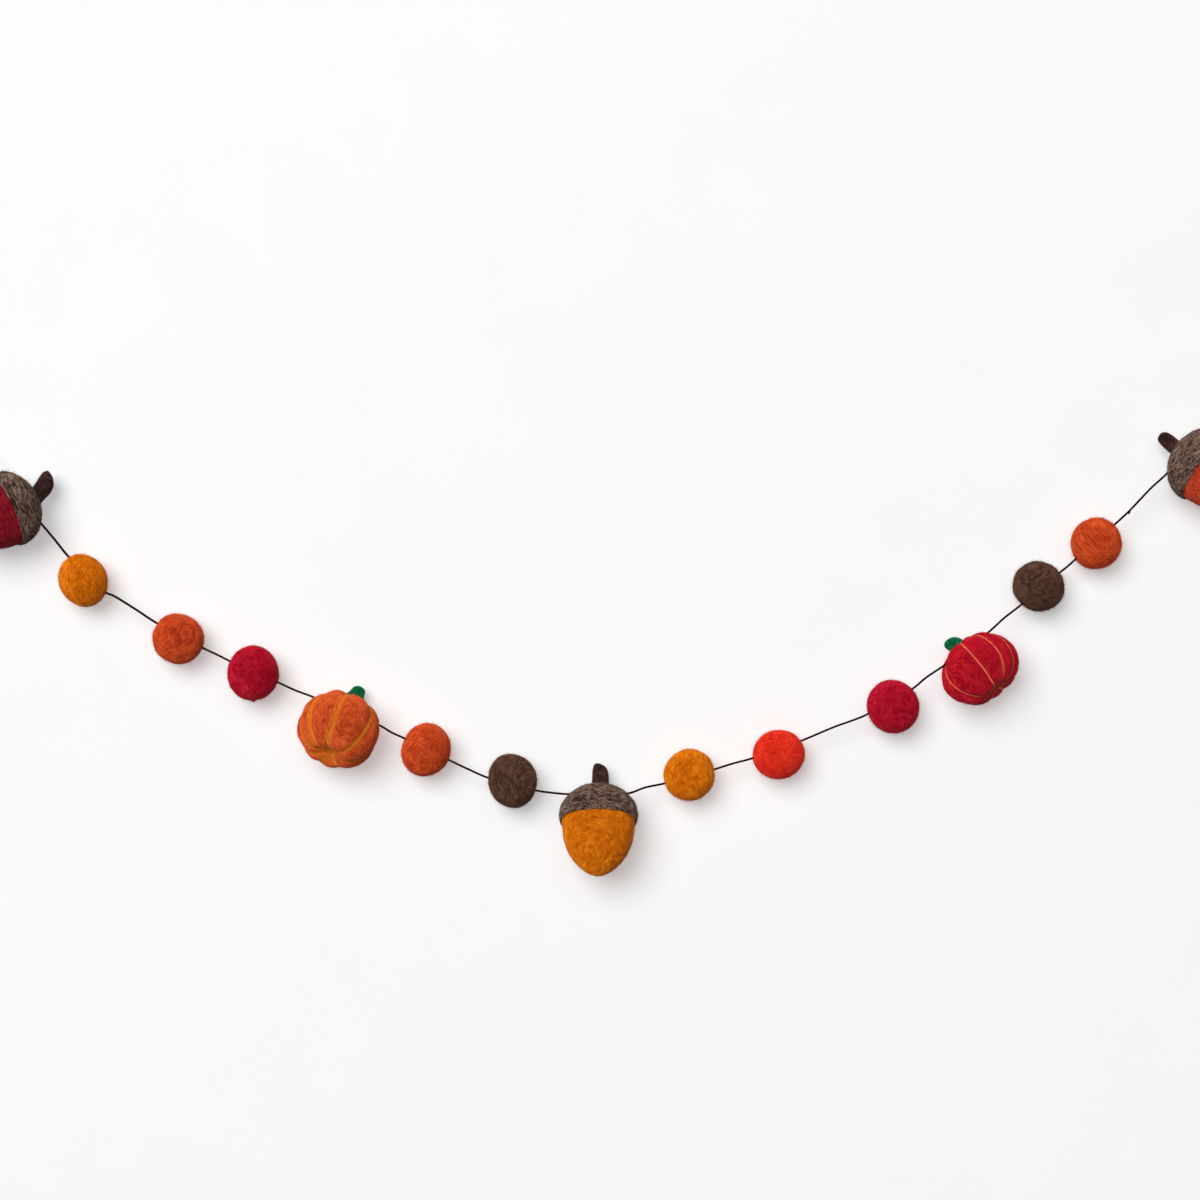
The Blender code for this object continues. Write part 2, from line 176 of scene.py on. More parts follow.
class Graph:
    """The nodes of one finish."""

    def __init__(self, name: str) -> None:
        """Start a material of this name with nothing in it but its output."""
        self.material = bpy.data.materials.new(name)
        self.material.use_nodes = True
        self.tree = self.material.node_tree
        self.tree.nodes.clear()
        self.output = self.node("ShaderNodeOutputMaterial")

    def node(
        self,
        kind: str,
        settings: Optional[dict[str, Any]] = None,
        sockets: Optional[Sockets] = None,
    ) -> bpy.types.Node:
        """Add one node.

        Args:
            kind: the node's type.
            settings: its own settings, set first. A ramp's stops are (place, colour) pairs.
            sockets: what goes into its sockets, a value or a link each.

        Returns:
            The node.
        """
        made = self.tree.nodes.new(kind)
        for name, setting in (settings or {}).items():
            if name == "stops":
                self._set_stops(made.color_ramp, setting)
            else:
                setattr(made, name, setting)
        for name, value in (sockets or {}).items():
            if isinstance(value, Wire):
                self.tree.links.new(value.socket, made.inputs[name])
            elif isinstance(value, bpy.types.NodeSocket):
                self.tree.links.new(value, made.inputs[name])
            else:
                made.inputs[name].default_value = value
        return made

    def _set_stops(self, ramp: bpy.types.ColorRamp, stops: Sequence[tuple[float, Colour]]) -> None:
        """Give a ramp its stops."""
        while len(ramp.elements) < len(stops):
            ramp.elements.new(0.5)
        for element, (place, colour) in zip(ramp.elements, stops):
            element.position = place
            element.color = linear(colour)

    def maths(self, operation: str, *values: Value) -> Wire:
        """Add a Math node on these values."""
        sockets = dict(enumerate(values))
        return Wire(self, self.node("ShaderNodeMath", {"operation": operation}, sockets).outputs[0])

    def place_mm(self) -> bpy.types.NodeSocket:
        """Read a point of the piece in millimetres, from its object coordinates."""
        read = self.node("ShaderNodeTexCoord").outputs["Object"]
        sockets = {0: read, 1: (1.0 / MM,) * 3}
        return self.node("ShaderNodeVectorMath", {"operation": "MULTIPLY"}, sockets).outputs[0]

    def ramp(self, tone: Wire, *stops: tuple[float, Colour]) -> bpy.types.NodeSocket:
        """Turn a tone into a colour by (place, colour) stops."""
        return self.node("ShaderNodeValToRGB", {"stops": stops}, {0: tone}).outputs[0]

    def bump(self, height: Wire, strength: float, distance: float) -> bpy.types.NodeSocket:
        """Raise the surface by this height."""
        sockets = {"Strength": strength, "Distance": distance, "Height": height}
        return self.node("ShaderNodeBump", None, sockets).outputs[0]

    def cloud(self, place: Value, scale: float, detail: float = 2.0, bend: float = 0.0) -> bpy.types.Node:
        """Add a noise of this scale, in repeats per millimetre."""
        sockets = {"Vector": place, "Scale": scale, "Detail": detail, "Distortion": bend}
        return self.node("ShaderNodeTexNoise", None, sockets)

    def wound(self, place: Value, turn: Point, reach: float, spacing: float) -> bpy.types.NodeSocket:
        """Stretch a pattern along layers, as wool that is wound round one way.

        Args:
            place: where the pattern is read, in millimetres.
            turn: how the layers are turned.
            reach: how long the pattern's marks are.
            spacing: how far apart its layers lie.

        Returns:
            A vector socket to read the pattern at, in its own repeats.
        """
        sockets = {"Vector": place, "Rotation": turn, "Scale": (reach, reach, spacing)}
        return self.node("ShaderNodeMapping", {"vector_type": "TEXTURE"}, sockets).outputs[0]

    def hairlines(self, place: Value, scale: float, width: float, bend: float) -> Wire:
        """Draw thin wandering lines, as single fibres lie in felt.

        Args:
            place: where the pattern is read.
            scale: repeats per millimetre.
            width: how wide a line is, as a share of its spacing.
            bend: how much the lines curl.

        Returns:
            1 on a line and 0 between lines.
        """
        level = Wire(self, self.cloud(place, scale, 2.0, bend).outputs[0])
        return (1.0 - abs(level - 0.5) * (1.0 / width)).clamped()

    def shaded(self, sockets: Sockets) -> bpy.types.Material:
        """End the finish with a Principled shader that takes these sockets."""
        shader = self.node("ShaderNodeBsdfPrincipled", None, sockets)
        self.tree.links.new(shader.outputs[0], self.output.inputs["Surface"])
        return self.material


@dataclass(frozen=True)
class Wool:
    """A felted wool: its colours from the deep pits to the raised fibres, and its relief."""

    slot: str
    dark: Colour
    main: Colour
    light: Colour
    streak: float = 1.0
    patch: float = 0.4
    grain: float = 0.4
    drift: float = 9.0
    relief: float = 0.00014
    sheen: float = 0.06

    WINDINGS = ((4.2, 0.62), (3.2, 0.5))
    AXIS_STRAY = 0.3
    STRAND_SHARE = 1.7
    HAIR_SHARE = 0.22
    PATCH_SHARE = 2.0

    def tone(self, graph: Graph, seed: int, axis: Optional[Point]) -> tuple[Wire, Wire]:
        """Work out the felt's tone and height, as wool wound two ways and then needled.

        Args:
            graph: the finish that is being made.
            seed: turns the windings, so that no two pieces look alike.
            axis: what the wool is wound about, or None where it is wound at random.

        Returns:
            The tone, about 0.5, and the height, both from 0 to 1.
        """
        dice = random.Random(seed)
        place = graph.place_mm()
        drift = graph.cloud(place, 0.07, 1.0).outputs["Color"]
        swirl_sockets = {0: drift, 1: (self.drift,) * 3, 2: place}
        swirl = graph.node("ShaderNodeVectorMath", {"operation": "MULTIPLY_ADD"}, swirl_sockets).outputs[0]
        windings = []
        hairs = []
        for reach, spacing in self.WINDINGS:
            if axis:
                stray = Vector([dice.uniform(-self.AXIS_STRAY, self.AXIS_STRAY) for _ in range(3)])
                turn = tuple((Vector(axis) + stray).to_track_quat("Z", "Y").to_euler())
            else:
                turn = tuple(dice.uniform(0.0, math.tau) for _ in range(3))
            laid = graph.wound(swirl, turn, reach, spacing)
            windings.append(Wire(graph, graph.cloud(laid, 1.0, 3.0, 0.3).outputs[0]))
            hairs.append(graph.hairlines(laid, 1.3, 0.12, 0.4))
        which = Wire(graph, graph.cloud(place, 0.11, 1.0).outputs[0])
        which = ((which - 0.5) * 7.0 + 0.5).clamped()
        strand = windings[0] + (windings[1] - windings[0]) * which
        hair = hairs[0] + (hairs[1] - hairs[0]) * which
        patches = Wire(graph, graph.cloud(swirl, 0.14, 2.0, 0.8).outputs[0])
        grain = Wire(graph, graph.cloud(place, 1.5, 3.0).outputs[0])
        tone = 0.5 + (strand - 0.5) * (self.STRAND_SHARE * self.streak)
        tone = tone + (hair - 0.3) * (self.HAIR_SHARE * self.streak)
        tone = tone + (patches - 0.5) * (self.PATCH_SHARE * self.patch) + (grain - 0.5) * self.grain
        height = strand * 0.7 + hair * 0.3 + grain * 0.3
        return tone.clamped(), height

    def tinted(self, graph: Graph, tone: Wire) -> bpy.types.NodeSocket:
        """Colour the felt by its tone."""
        return graph.ramp(tone, (0.12, self.dark), (0.5, self.main), (0.9, self.light))

    def dry(self, colour: Value, sheen_roughness: float) -> Sockets:
        """Give what the shader of dry, matt wool takes."""
        return {
            "Base Color": colour,
            "Roughness": 0.95,
            "Diffuse Roughness": 1.0,
            "Specular IOR Level": 0.03,
            "Sheen Weight": self.sheen,
            "Sheen Roughness": sheen_roughness,
            "Sheen Tint": linear(self.light),
        }

    def felted(self, graph: Graph, colour: Value, height: Wire) -> bpy.types.Material:
        """End the felt's finish with this colour and height."""
        normal = graph.bump(height, 0.75, self.relief)
        return graph.shaded({**self.dry(colour, 0.45), "Normal": normal})

    def material(self, seed: int, axis: Optional[Point]) -> bpy.types.Material:
        """Make the felt's material, wound at random or about an axis."""
        graph = Graph(self.slot)
        tone, height = self.tone(graph, seed, axis)
        return self.felted(graph, self.tinted(graph, tone), height)

    def fibre_material(self) -> bpy.types.Material:
        """Make the material of single fibres, whose map holds their tone and the way along."""
        graph = Graph(f"{self.slot}_fibre")
        read = graph.node("ShaderNodeUVMap", {"uv_map": Fibres.READ_MAP}).outputs[0]
        parts = graph.node("ShaderNodeSeparateXYZ", None, {0: read})
        tone = Wire(graph, parts.outputs[0])
        along = Wire(graph, parts.outputs[1])
        tone = (tone + (along - 0.5) * 0.12).clamped()
        colour = graph.ramp(tone, (0.0, self.dark), (0.45, self.main), (1.0, self.light))
        return graph.shaded(self.dry(colour, 0.4))


@dataclass(frozen=True)
class RibbedWool(Wool):
    """Felt with another wool needled into its seams, which the piece marks in an attribute."""

    seam: Colour = (218, 114, 28)
    SEAM_MARK = "seam"

    def material(self, seed: int, axis: Optional[Point]) -> bpy.types.Material:
        """Make the material, tinted by the needled wool along each seam."""
        graph = Graph(self.slot)
        tone, height = self.tone(graph, seed, axis)
        colour = self.tinted(graph, tone)
        read = graph.node("ShaderNodeAttribute", {"attribute_name": self.SEAM_MARK})
        mark = Wire(graph, read.outputs["Fac"])
        ragged = Wire(graph, graph.cloud(graph.place_mm(), 0.9, 3.0, 0.5).outputs[0])
        share = ((mark + (ragged - 0.5) * 0.9) * 1.1 - 0.15).clamped() * 0.75
        sockets = {0: share, 6: colour, 7: linear(self.seam)}
        mixed = graph.node("ShaderNodeMix", {"data_type": "RGBA"}, sockets).outputs[2]
        return self.felted(graph, mixed, height)


@dataclass(frozen=True)
class Cotton:
    """Two-ply cotton thread."""

    slot: str
    dark: Colour
    main: Colour
    light: Colour

    def material(self, _seed: int, _axis: Optional[Point]) -> bpy.types.Material:
        """Make the thread's material, with fine staple fibres along it."""
        graph = Graph(self.slot)
        place = graph.place_mm()
        staple = graph.hairlines(place, 2.2, 0.2, 1.5)
        patches = Wire(graph, graph.cloud(place, 0.12, 2.0).outputs[0])
        tone = (0.15 + staple * 0.45 + (patches - 0.5) * 0.9).clamped()
        return graph.shaded({
            "Base Color": graph.ramp(tone, (0.0, self.dark), (0.5, self.main), (1.0, self.light)),
            "Normal": graph.bump(staple, 0.5, 0.00008),
            "Roughness": 0.85,
            "Specular IOR Level": 0.1,
        })


@functools.cache
def felt_of(finish: Union[Wool, Cotton], seed: int, axis: Optional[Point]) -> bpy.types.Material:
    """Give a finish's own material, made once for each seed and winding axis."""
    return finish.material(seed, axis)


@functools.cache
def fibre_of(finish: Wool) -> bpy.types.Material:
    """Give the material of a finish's single fibres, made once."""
    return finish.fibre_material()


class Felt(Enum):
    """The wools and the thread of this garland."""

    MUSTARD = Wool("felt_mustard", (166, 78, 4), (208, 107, 8), (236, 142, 26))
    ORANGE = Wool("felt_orange", (150, 44, 20), (193, 67, 30), (222, 96, 48))
    CRIMSON = Wool("felt_crimson", (132, 5, 24), (174, 14, 38), (202, 40, 64), streak=0.8)
    SCARLET = Wool("felt_scarlet", (180, 24, 16), (220, 42, 27), (240, 78, 52), streak=0.7,
                   relief=0.0001)
    BROWN = Wool("felt_brown", (50, 31, 24), (77, 50, 39), (114, 82, 64))
    PUMPKIN_ORANGE = RibbedWool("pumpkin_orange", (160, 50, 22), (202, 78, 36), (226, 106, 54))
    PUMPKIN_RED = RibbedWool("pumpkin_red", (136, 6, 22), (178, 15, 35), (204, 40, 52),
                             seam=(190, 54, 40))
    NUT_MUSTARD = Wool("nut_mustard", (164, 76, 3), (202, 105, 7), (230, 138, 26))
    NUT_CRIMSON = Wool("nut_crimson", (94, 8, 20), (130, 18, 31), (164, 40, 54))
    NUT_ORANGE = Wool("nut_orange", (144, 40, 24), (184, 60, 36), (214, 90, 54))
    CAP_MARL = Wool("cap_marl", (38, 23, 21), (78, 56, 49), (154, 131, 114), streak=1.5,
                    patch=0.3, grain=1.5, drift=3.0, relief=0.00028)
    STEM_PLUM = Wool("stem_plum", (32, 17, 18), (57, 34, 32), (96, 70, 64), relief=0.0003)
    STALK_GREEN = Wool("stalk_green", (2, 60, 36), (6, 92, 54), (34, 130, 86))
    AMBER_ROVING = Wool("pumpkin_orange", (192, 88, 20), (224, 122, 28), (244, 158, 58))
    PEACH_ROVING = Wool("pumpkin_red", (200, 68, 46), (230, 104, 68), (248, 146, 108))
    THREAD_MAROON = Cotton("thread_maroon", (18, 2, 5), (34, 3, 9), (84, 18, 30))


def deselect_all() -> None:
    """Leave nothing selected, so that an operator acts on the new piece alone."""
    bpy.ops.object.select_all(action="DESELECT")


def only(piece: bpy.types.Object) -> None:
    """Select this piece alone and make it the active one."""
    deselect_all()
    piece.select_set(True)
    bpy.context.view_layer.objects.active = piece


def all_edit(piece: bpy.types.Object) -> None:
    """Open a piece in edit mode with all of it selected."""
    only(piece)
    bpy.ops.object.mode_set(mode="EDIT")
    bpy.ops.mesh.select_all(action="SELECT")


def new_piece(name: str, mesh: bpy.types.Mesh) -> bpy.types.Object:
    """Link a new piece that holds this mesh."""
    piece = bpy.data.objects.new(name, mesh)
    bpy.context.collection.objects.link(piece)
    return piece


def sphere_piece(name: str, segments: int, rings: int) -> bpy.types.Object:
    """Add a ball of radius 1 about the origin."""
    deselect_all()
    bpy.ops.mesh.primitive_uv_sphere_add(segments=segments, ring_count=rings, radius=1.0)
    piece = bpy.context.active_object
    piece.name = name
    piece.data.name = name
    return piece


def turned_piece(name: str, outline: Profile, steps: int) -> bpy.types.Object:
    """Spin an outline of (radius, height) points about Z into a closed piece.

    Args:
        name: the piece's name.
        outline: its half section.
        steps: how many steps go round.

    Returns:
        The piece, in millimetres, about the origin.
    """
    mesh = bpy.data.meshes.new(name)
    points = [(radius, 0.0, height) for radius, height in outline]
    mesh.from_pydata(points, [(n, n + 1) for n in range(len(points) - 1)], [])
    piece = new_piece(name, mesh)
    all_edit(piece)
    bpy.ops.mesh.spin(steps=steps, angle=math.tau, center=(0.0, 0.0, 0.0), axis=(0.0, 0.0, 1.0))
    bpy.ops.mesh.select_all(action="SELECT")
    bpy.ops.mesh.remove_doubles(threshold=TURNED_MERGE)
    bpy.ops.mesh.normals_make_consistent(inside=False)
    bpy.ops.object.mode_set(mode="OBJECT")
    reshape(piece, lambda point: Vector([round(value, TURNED_DIGITS) for value in point]))
    return piece


def reshape(piece: bpy.types.Object, place_of: Callable[[Vector], Vector]) -> None:
    """Move each point of a piece to where the function puts it."""
    for vertex in piece.data.vertices:
        vertex.co = place_of(vertex.co.copy())
    piece.data.update()


def pit(piece: bpy.types.Object, *pits: Pair) -> None:
    """Give a piece the shallow pits that felting needles leave.

    Args:
        piece: the piece, in millimetres.
        pits: the width of a pit and how far the surface moves in all, for each kind of pit.
    """
    for fineness, depth in pits:
        pattern = bpy.data.textures.new(f"{piece.name}_pits", "CLOUDS")
        pattern.noise_scale = fineness
        pattern.noise_depth = 2
        needled = piece.modifiers.new("needled", "DISPLACE")
        needled.texture = pattern
        needled.texture_coords = "LOCAL"
        needled.strength = depth
        needled.mid_level = 0.5
        only(piece)
        bpy.ops.object.modifier_apply(modifier=needled.name)


def pucker(piece: bpy.types.Object, centre: Vector, passage: "Passage") -> None:
    """Draw the felt in where the thread enters and leaves it."""
    enter = Vector(passage.enter)
    way = (Vector(passage.leave) - enter).normalized()

    def drawn(place: Vector) -> Vector:
        off = place - enter
        aside = (off - way * off.dot(way)).length
        inward = (centre - place).normalized()
        return place + inward * PUCKER_DEPTH * math.exp(-((aside / PUCKER_WIDTH) ** 2))

    reshape(piece, drawn)


def settle(piece: bpy.types.Object, slot: str, material: bpy.types.Material, *nodes: str) -> None:
    """Finish a piece: metres, smooth shading, material and body, and hide the CAD parts that it stands for.
    """
    piece.data.transform(Matrix.Scale(MM, 4))
    for face in piece.data.polygons:
        face.use_smooth = True
    piece.data.materials.clear()
    piece.data.materials.append(material)
    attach(piece, BODY)
    if nodes:
        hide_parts(*nodes)
    LOG.info("%s: %d faces", piece.name, len(piece.data.polygons))


def settle_felt(piece: bpy.types.Object, finish: Wool, seed: int, node: str,
                axis: Optional[Point] = None) -> None:
    settle(piece, finish.slot, felt_of(finish, seed, axis), node)


def settle_thread(piece: bpy.types.Object, node: str) -> None:
    """Finish a piece of the thread that stands for a node."""
    finish = Felt.THREAD_MAROON.value
    settle(piece, finish.slot, felt_of(finish, 0, None), node)


def scatter(dice: random.Random, spread: float = 1.0) -> Vector:
    """Give a step that chance makes in all three ways."""
    return Vector([dice.gauss(0.0, spread) for _ in range(3)])


def lump(direction: Vector, seed: int) -> float:
    """Give the unevenness of hand-rolled felt in one direction, as a factor near 1."""
    return 1.0 + LUMP_SHARE * noise.noise(direction * LUMP_FINENESS + LUMP_SEED_STEP * seed)


def facing_frame(centre: Vector, axis: Vector) -> Matrix:
    """Give the frame whose Z is the axis and whose X faces the room as nearly as it can."""
    up = Vector(axis).normalized()
    front = (ROOM - up * ROOM.dot(up)).normalized()
    frame = Matrix((front, up.cross(front), up)).transposed().to_4x4()
    frame.translation = Vector(centre)
    return frame


def smooth_way(before: Vector, points: Sequence[Vector], beyond: Vector, step_length: float) -> list[Vector]:
    """Read a smooth curve through the points, a step at a time.

    Args:
        before: the point that the curve comes from.
        points: the points that it passes.
        beyond: the point that it goes on to.
        step_length: the length of a step.

    Returns:
        The curve's points from the first to the last.
    """
    ends = [before, *points, beyond]
    way = []
    for first, start, end, last in zip(ends, ends[1:], ends[2:], ends[3:]):
        span = (end - start).length
        leave = (end - first).normalized() * span
        arrive = (last - start).normalized() * span
        steps = max(1, round(span / step_length))
        for step in range(steps):
            t = step / steps
            way.append(start * (2 * t**3 - 3 * t**2 + 1) + leave * (t**3 - 2 * t**2 + t)
                       + end * (3 * t**2 - 2 * t**3) + arrive * (t**3 - t**2))
    return way + [points[-1]]


class FeltSurface:
    """The surface of a felt piece, in millimetres, for fibres to grow from and lie on."""

    def __init__(self, piece: bpy.types.Object,
                 taken: Callable[[bpy.types.MeshPolygon], bool] = lambda _: True) -> None:
        """Read the faces that are taken, in the order of their places.

        The operators number faces differently each run, and this order gives the same fibres.
        """
        places = [tuple(round(value, SURFACE_DIGITS) for value in vertex.co)
                  for vertex in piece.data.vertices]
        order = sorted(range(len(places)), key=places.__getitem__)
        rank = {number: at for at, number in enumerate(order)}
        self.points = [Vector(places[number]) for number in order]
        self.faces = sorted(self._from_first([rank[number] for number in face.vertices])
                            for face in piece.data.polygons if taken(face))
        self.areas = np.cumsum([self._area(corners) for corners in self.faces])
        self.tree = BVHTree.FromPolygons(self.points, self.faces)

    @staticmethod
    def _from_first(corners: list[int]) -> tuple[int, ...]:
        """Turn a face's corners so that the lowest number comes first."""
        first = corners.index(min(corners))
        return tuple(corners[first:] + corners[:first])

    def _area(self, corners: tuple[int, ...]) -> float:
        """Give a face's area."""
        start, *others = [self.points[number] for number in corners]
        return sum(geometry.area_tri(start, here, after) for here, after in zip(others, others[1:]))

    def spot(self, dice: random.Random) -> tuple[Vector, Vector]:
        """Pick a point of the surface by chance, evenly over its area, with its normal."""
        number = int(np.searchsorted(self.areas, dice.random() * self.areas[-1]))
        corners = [self.points[n] for n in self.faces[min(number, len(self.faces) - 1)]]
        weights = [dice.random() + 0.02 for _ in corners]
        total = sum(weights)
        place = Vector()
        for corner, weight in zip(corners, weights):
            place += corner * (weight / total)
        return self.nearest(place)

    def nearest(self, place: Vector) -> tuple[Vector, Vector]:
        """Give the surface's nearest point and its normal there."""
        found, normal, _, _ = self.tree.find_nearest(place)
        return found, normal


@dataclass(frozen=True)
class Standing:
    """Loose fibres that stand off the felt: their number, lengths, half thickness and tones."""

    count: int
    lengths: Pair
    radius: float
    tones: Pair


@dataclass(frozen=True)
class Lying:
    """Fibres that lie along the felt.

    Attributes:
        count: how many there are.
        lengths: the shortest and longest.
        radii: the thinnest and thickest, as half thicknesses.
        tones: the darkest and lightest.
        lift: how high their middle lies above the felt.
        stray: how far each strays from its heading.
        step: the length of a straight stretch.
        flat: a fibre's height over its width.
    """

    count: int
    lengths: Pair
    radii: Pair
    tones: Pair
    lift: float = 0.04
    stray: float = 0.35
    step: float = 1.0
    flat: float = 0.7


@dataclass
class Fibres:
    """Single wool fibres, each a tapered strand with three sides, gathered into one piece."""

    READ_MAP = "fibre"
    BAKE_MAP = "OFBake"
    TONE_WIDTH = 0.006
    TAPER = 0.55
    ROOT_DEPTH = 0.12
    END_DEPTH = 0.1
    UPRIGHT = 0.75
    RISE = (0.15, 1.7)
    BENT_FROM = 1.2
    BEND = 0.4
    CURL = 0.16
    SWIRL_FINENESS = 0.11

    name: str
    points: list[Vector] = field(default_factory=list)
    faces: list[tuple[int, ...]] = field(default_factory=list)
    marks: list[tuple[float, float]] = field(default_factory=list)

    def add(self, line: Sequence[Vector], up: Vector, radius: float, tone: float, flat: float = 1.0) -> None:
        """Add one fibre.

        Args:
            line: its middle line from root to tip.
            up: the way that its flat side faces.
            radius: half its thickness at the root.
            tone: its shade, from 0 to 1.
            flat: its height over its width.
        """
        start = len(self.points)
        last = len(line) - 1
        for number, place in enumerate(line[:-1]):
            way = (line[number + 1] - line[max(0, number - 1)]).normalized()
            side = way.cross(up).normalized()
            lift = side.cross(way)
            share = number / last
            thick = radius * (1.0 - self.TAPER * share)
            for corner in range(3):
                angle = math.tau * corner / 3.0 + math.pi / 2.0
                self.points.append(place + side * (thick * math.cos(angle))
                                   + lift * (thick * flat * math.sin(angle)))
                self.marks.append((tone + self.TONE_WIDTH * (corner - 1), 0.05 + 0.9 * share))
        self.points.append(line[-1])
        self.marks.append((tone, 0.95))
        self.faces.append((start + 2, start + 1, start))
        for number in range(last - 1):
            here = start + 3 * number
            for corner in range(3):
                after = (corner + 1) % 3
                self.faces.append((here + corner, here + after, here + 3 + after, here + 3 + corner))
        here = start + 3 * (last - 1)
        tip = start + 3 * last
        for corner in range(3):
            self.faces.append((here + corner, here + (corner + 1) % 3, tip))

    def stand(self, felt: FeltSurface, dice: random.Random, fuzz: Standing) -> None:
        """Let loose fibres stand off the felt."""
        shortest, longest = fuzz.lengths
        for _ in range(fuzz.count):
            root, normal = felt.spot(dice)
            aside = normal.cross(scatter(dice)).normalized()
            rise = self.UPRIGHT * dice.uniform(*self.RISE)
            way = (normal * rise + aside).normalized()
            length = shortest + (longest - shortest) * dice.random() ** 2.0
            line = [root - normal * self.ROOT_DEPTH, root + way * length]
            if length > self.BENT_FROM:
                bend = scatter(dice) * self.BEND
                middle = root + way * (length * 0.5)
                line = [line[0], middle, middle + (way + bend).normalized() * (length * 0.5)]
            self.add(line, normal, fuzz.radius, dice.uniform(*fuzz.tones))

    def lie(self, felt: FeltSurface, dice: random.Random, strands: Lying,
            heading: Optional[Heading] = None) -> None:
        """Lay fibres along the felt, the way that the heading gives for a point and its normal."""
        for _ in range(strands.count):
            place, normal = felt.spot(dice)
            length = dice.uniform(*strands.lengths)
            steps = max(3, round(length / strands.step))
            if heading:
                run = heading(place, normal)
            else:
                run = normal.cross(noise.noise_vector(place * self.SWIRL_FINENESS))
            run = (run.normalized() + normal.cross(scatter(dice)) * strands.stray).normalized()
            curl = dice.gauss(0.0, self.CURL)
            line = []
            for number in range(steps + 1):
                sunk = self.END_DEPTH * (number in (0, steps))
                line.append(place + normal * (strands.lift * math.sin(math.pi * number / steps) - sunk))
                run = (run - normal * run.dot(normal)).normalized()
                run = (run + normal.cross(run) * curl).normalized()
                place, normal = felt.nearest(place + run * (length / steps))
            self.add(line, normal, dice.uniform(*strands.radii), dice.uniform(*strands.tones), strands.flat)

    def made(self, finish: Wool) -> None:
        """Make the piece that holds all the fibres, and finish it."""
        mesh = bpy.data.meshes.new(self.name)
        mesh.from_pydata(self.points, [], self.faces)
        corners = np.empty(len(mesh.loops), np.int32)
        mesh.loops.foreach_get("vertex_index", corners)
        marks = np.array(self.marks, np.float32).clip(0.0, 1.0)[corners].ravel()
        for name in (self.READ_MAP, self.BAKE_MAP):
            mesh.uv_layers.new(name=name).uv.foreach_set("vector", marks)
        settle(new_piece(self.name, mesh), finish.slot, fibre_of(finish))


@dataclass
class Passage:
    """The thread's straight way through a piece, and its bends on the way to the next one."""

    piece: str
    enter: Point
    leave: Point
    after: tuple[Point, ...]


@dataclass
class Strand:
    """Two plies of cotton twisted about each other along a way."""

    name: str
    way: list[Vector]
    radius: float = THREAD_RADIUS

    PLY_WIDTH = 1.02
    PLY_BULGE = 0.14

    def build(self) -> bpy.types.Object:
        """Sweep the two-ply section along the way, turning as it goes."""
        section = bpy.data.curves.new(f"{self.name}_section", "CURVE")
        ring = section.splines.new("POLY")
        ring.points.add(PLY_SIDES - 1)
        ring.use_cyclic_u = True
        for number, point in enumerate(ring.points):
            angle = math.tau * number / PLY_SIDES
            reach = self.radius * (self.PLY_WIDTH + self.PLY_BULGE * math.cos(2.0 * angle))
            point.co = (reach * math.cos(angle), reach * math.sin(angle), 0.0, 1.0)
        former = new_piece(f"{self.name}_section", section)
        curve = bpy.data.curves.new(self.name, "CURVE")
        curve.dimensions = "3D"
        curve.bevel_mode = "OBJECT"
        curve.bevel_object = former
        curve.use_fill_caps = True
        spline = curve.splines.new("POLY")
        spline.points.add(len(self.way) - 1)
        travelled = 0.0
        for number, (point, place) in enumerate(zip(spline.points, self.way)):
            travelled += (place - self.way[max(0, number - 1)]).length
            point.co = (*place, 1.0)
            point.tilt = math.tau * travelled / TWIST_PITCH
        strand = new_piece(self.name, curve)
        only(strand)
        bpy.ops.object.convert(target="MESH")
        bpy.data.objects.remove(former, do_unlink=True)
        all_edit(strand)
        bpy.ops.mesh.normals_make_consistent(inside=False)
        bpy.ops.object.mode_set(mode="OBJECT")
        return strand


@dataclass
class Thread:
    """The garland's one thread, from its left loop to its right one."""

    start: tuple[Point, ...]
    passages: tuple[Passage, ...]
    finish: tuple[Point, ...]
    slub: Point

    SLUB_WIDTH = 0.6
    SLUB_DROP = Vector((0.2, 0.0, -1.0))

    def way(self, step: float) -> list[Vector]:
        """Give the thread's points: straight inside each piece, a smooth curve outside it."""
        outside = [[Vector(point) for point in self.start]]
        for passage in self.passages:
            outside[-1].append(Vector(passage.enter))
            outside.append([Vector(passage.leave), *(Vector(point) for point in passage.after)])
        outside[-1].extend(Vector(point) for point in self.finish)
        way = []
        for number, points in enumerate(outside):
            before = outside[number - 1][-1] if number else points[0] * 2 - points[1]
            after_last = number == len(outside) - 1
            beyond = points[-1] * 2 - points[-2] if after_last else outside[number + 1][0]
            way += smooth_way(before, points, beyond, step)
        return way

    def _slubbed(self, place: Vector) -> Vector:
        """Draw the thread's underside out into a small slub of lint."""
        near = math.exp(-(((place - Vector(self.slub)).length / self.SLUB_WIDTH) ** 2))
        return place + self.SLUB_DROP * near

    def build(self, with_pieces: Sequence[bpy.types.Object]) -> None:
        fine = self.way(FINE_STEP)
        drawn = [fine[0]]
        for place in fine[1:]:
            gap = (place - drawn[-1]).length
            stretches = max(1, round(gap / FINE_STEP))
            drawn += [drawn[-1].lerp(place, n / stretches) for n in range(1, stretches)] + [place]
        piece = Strand("thread_twisted", drawn).build()
        reshape(piece, self._slubbed)
        settle_thread(piece, "thread")
        route = [place * MM for place in self.way(THREAD_STEP)]
        length = sum((b - a).length for a, b in zip(route, route[1:]))
        LOG.info("thread length %.4f m", length)


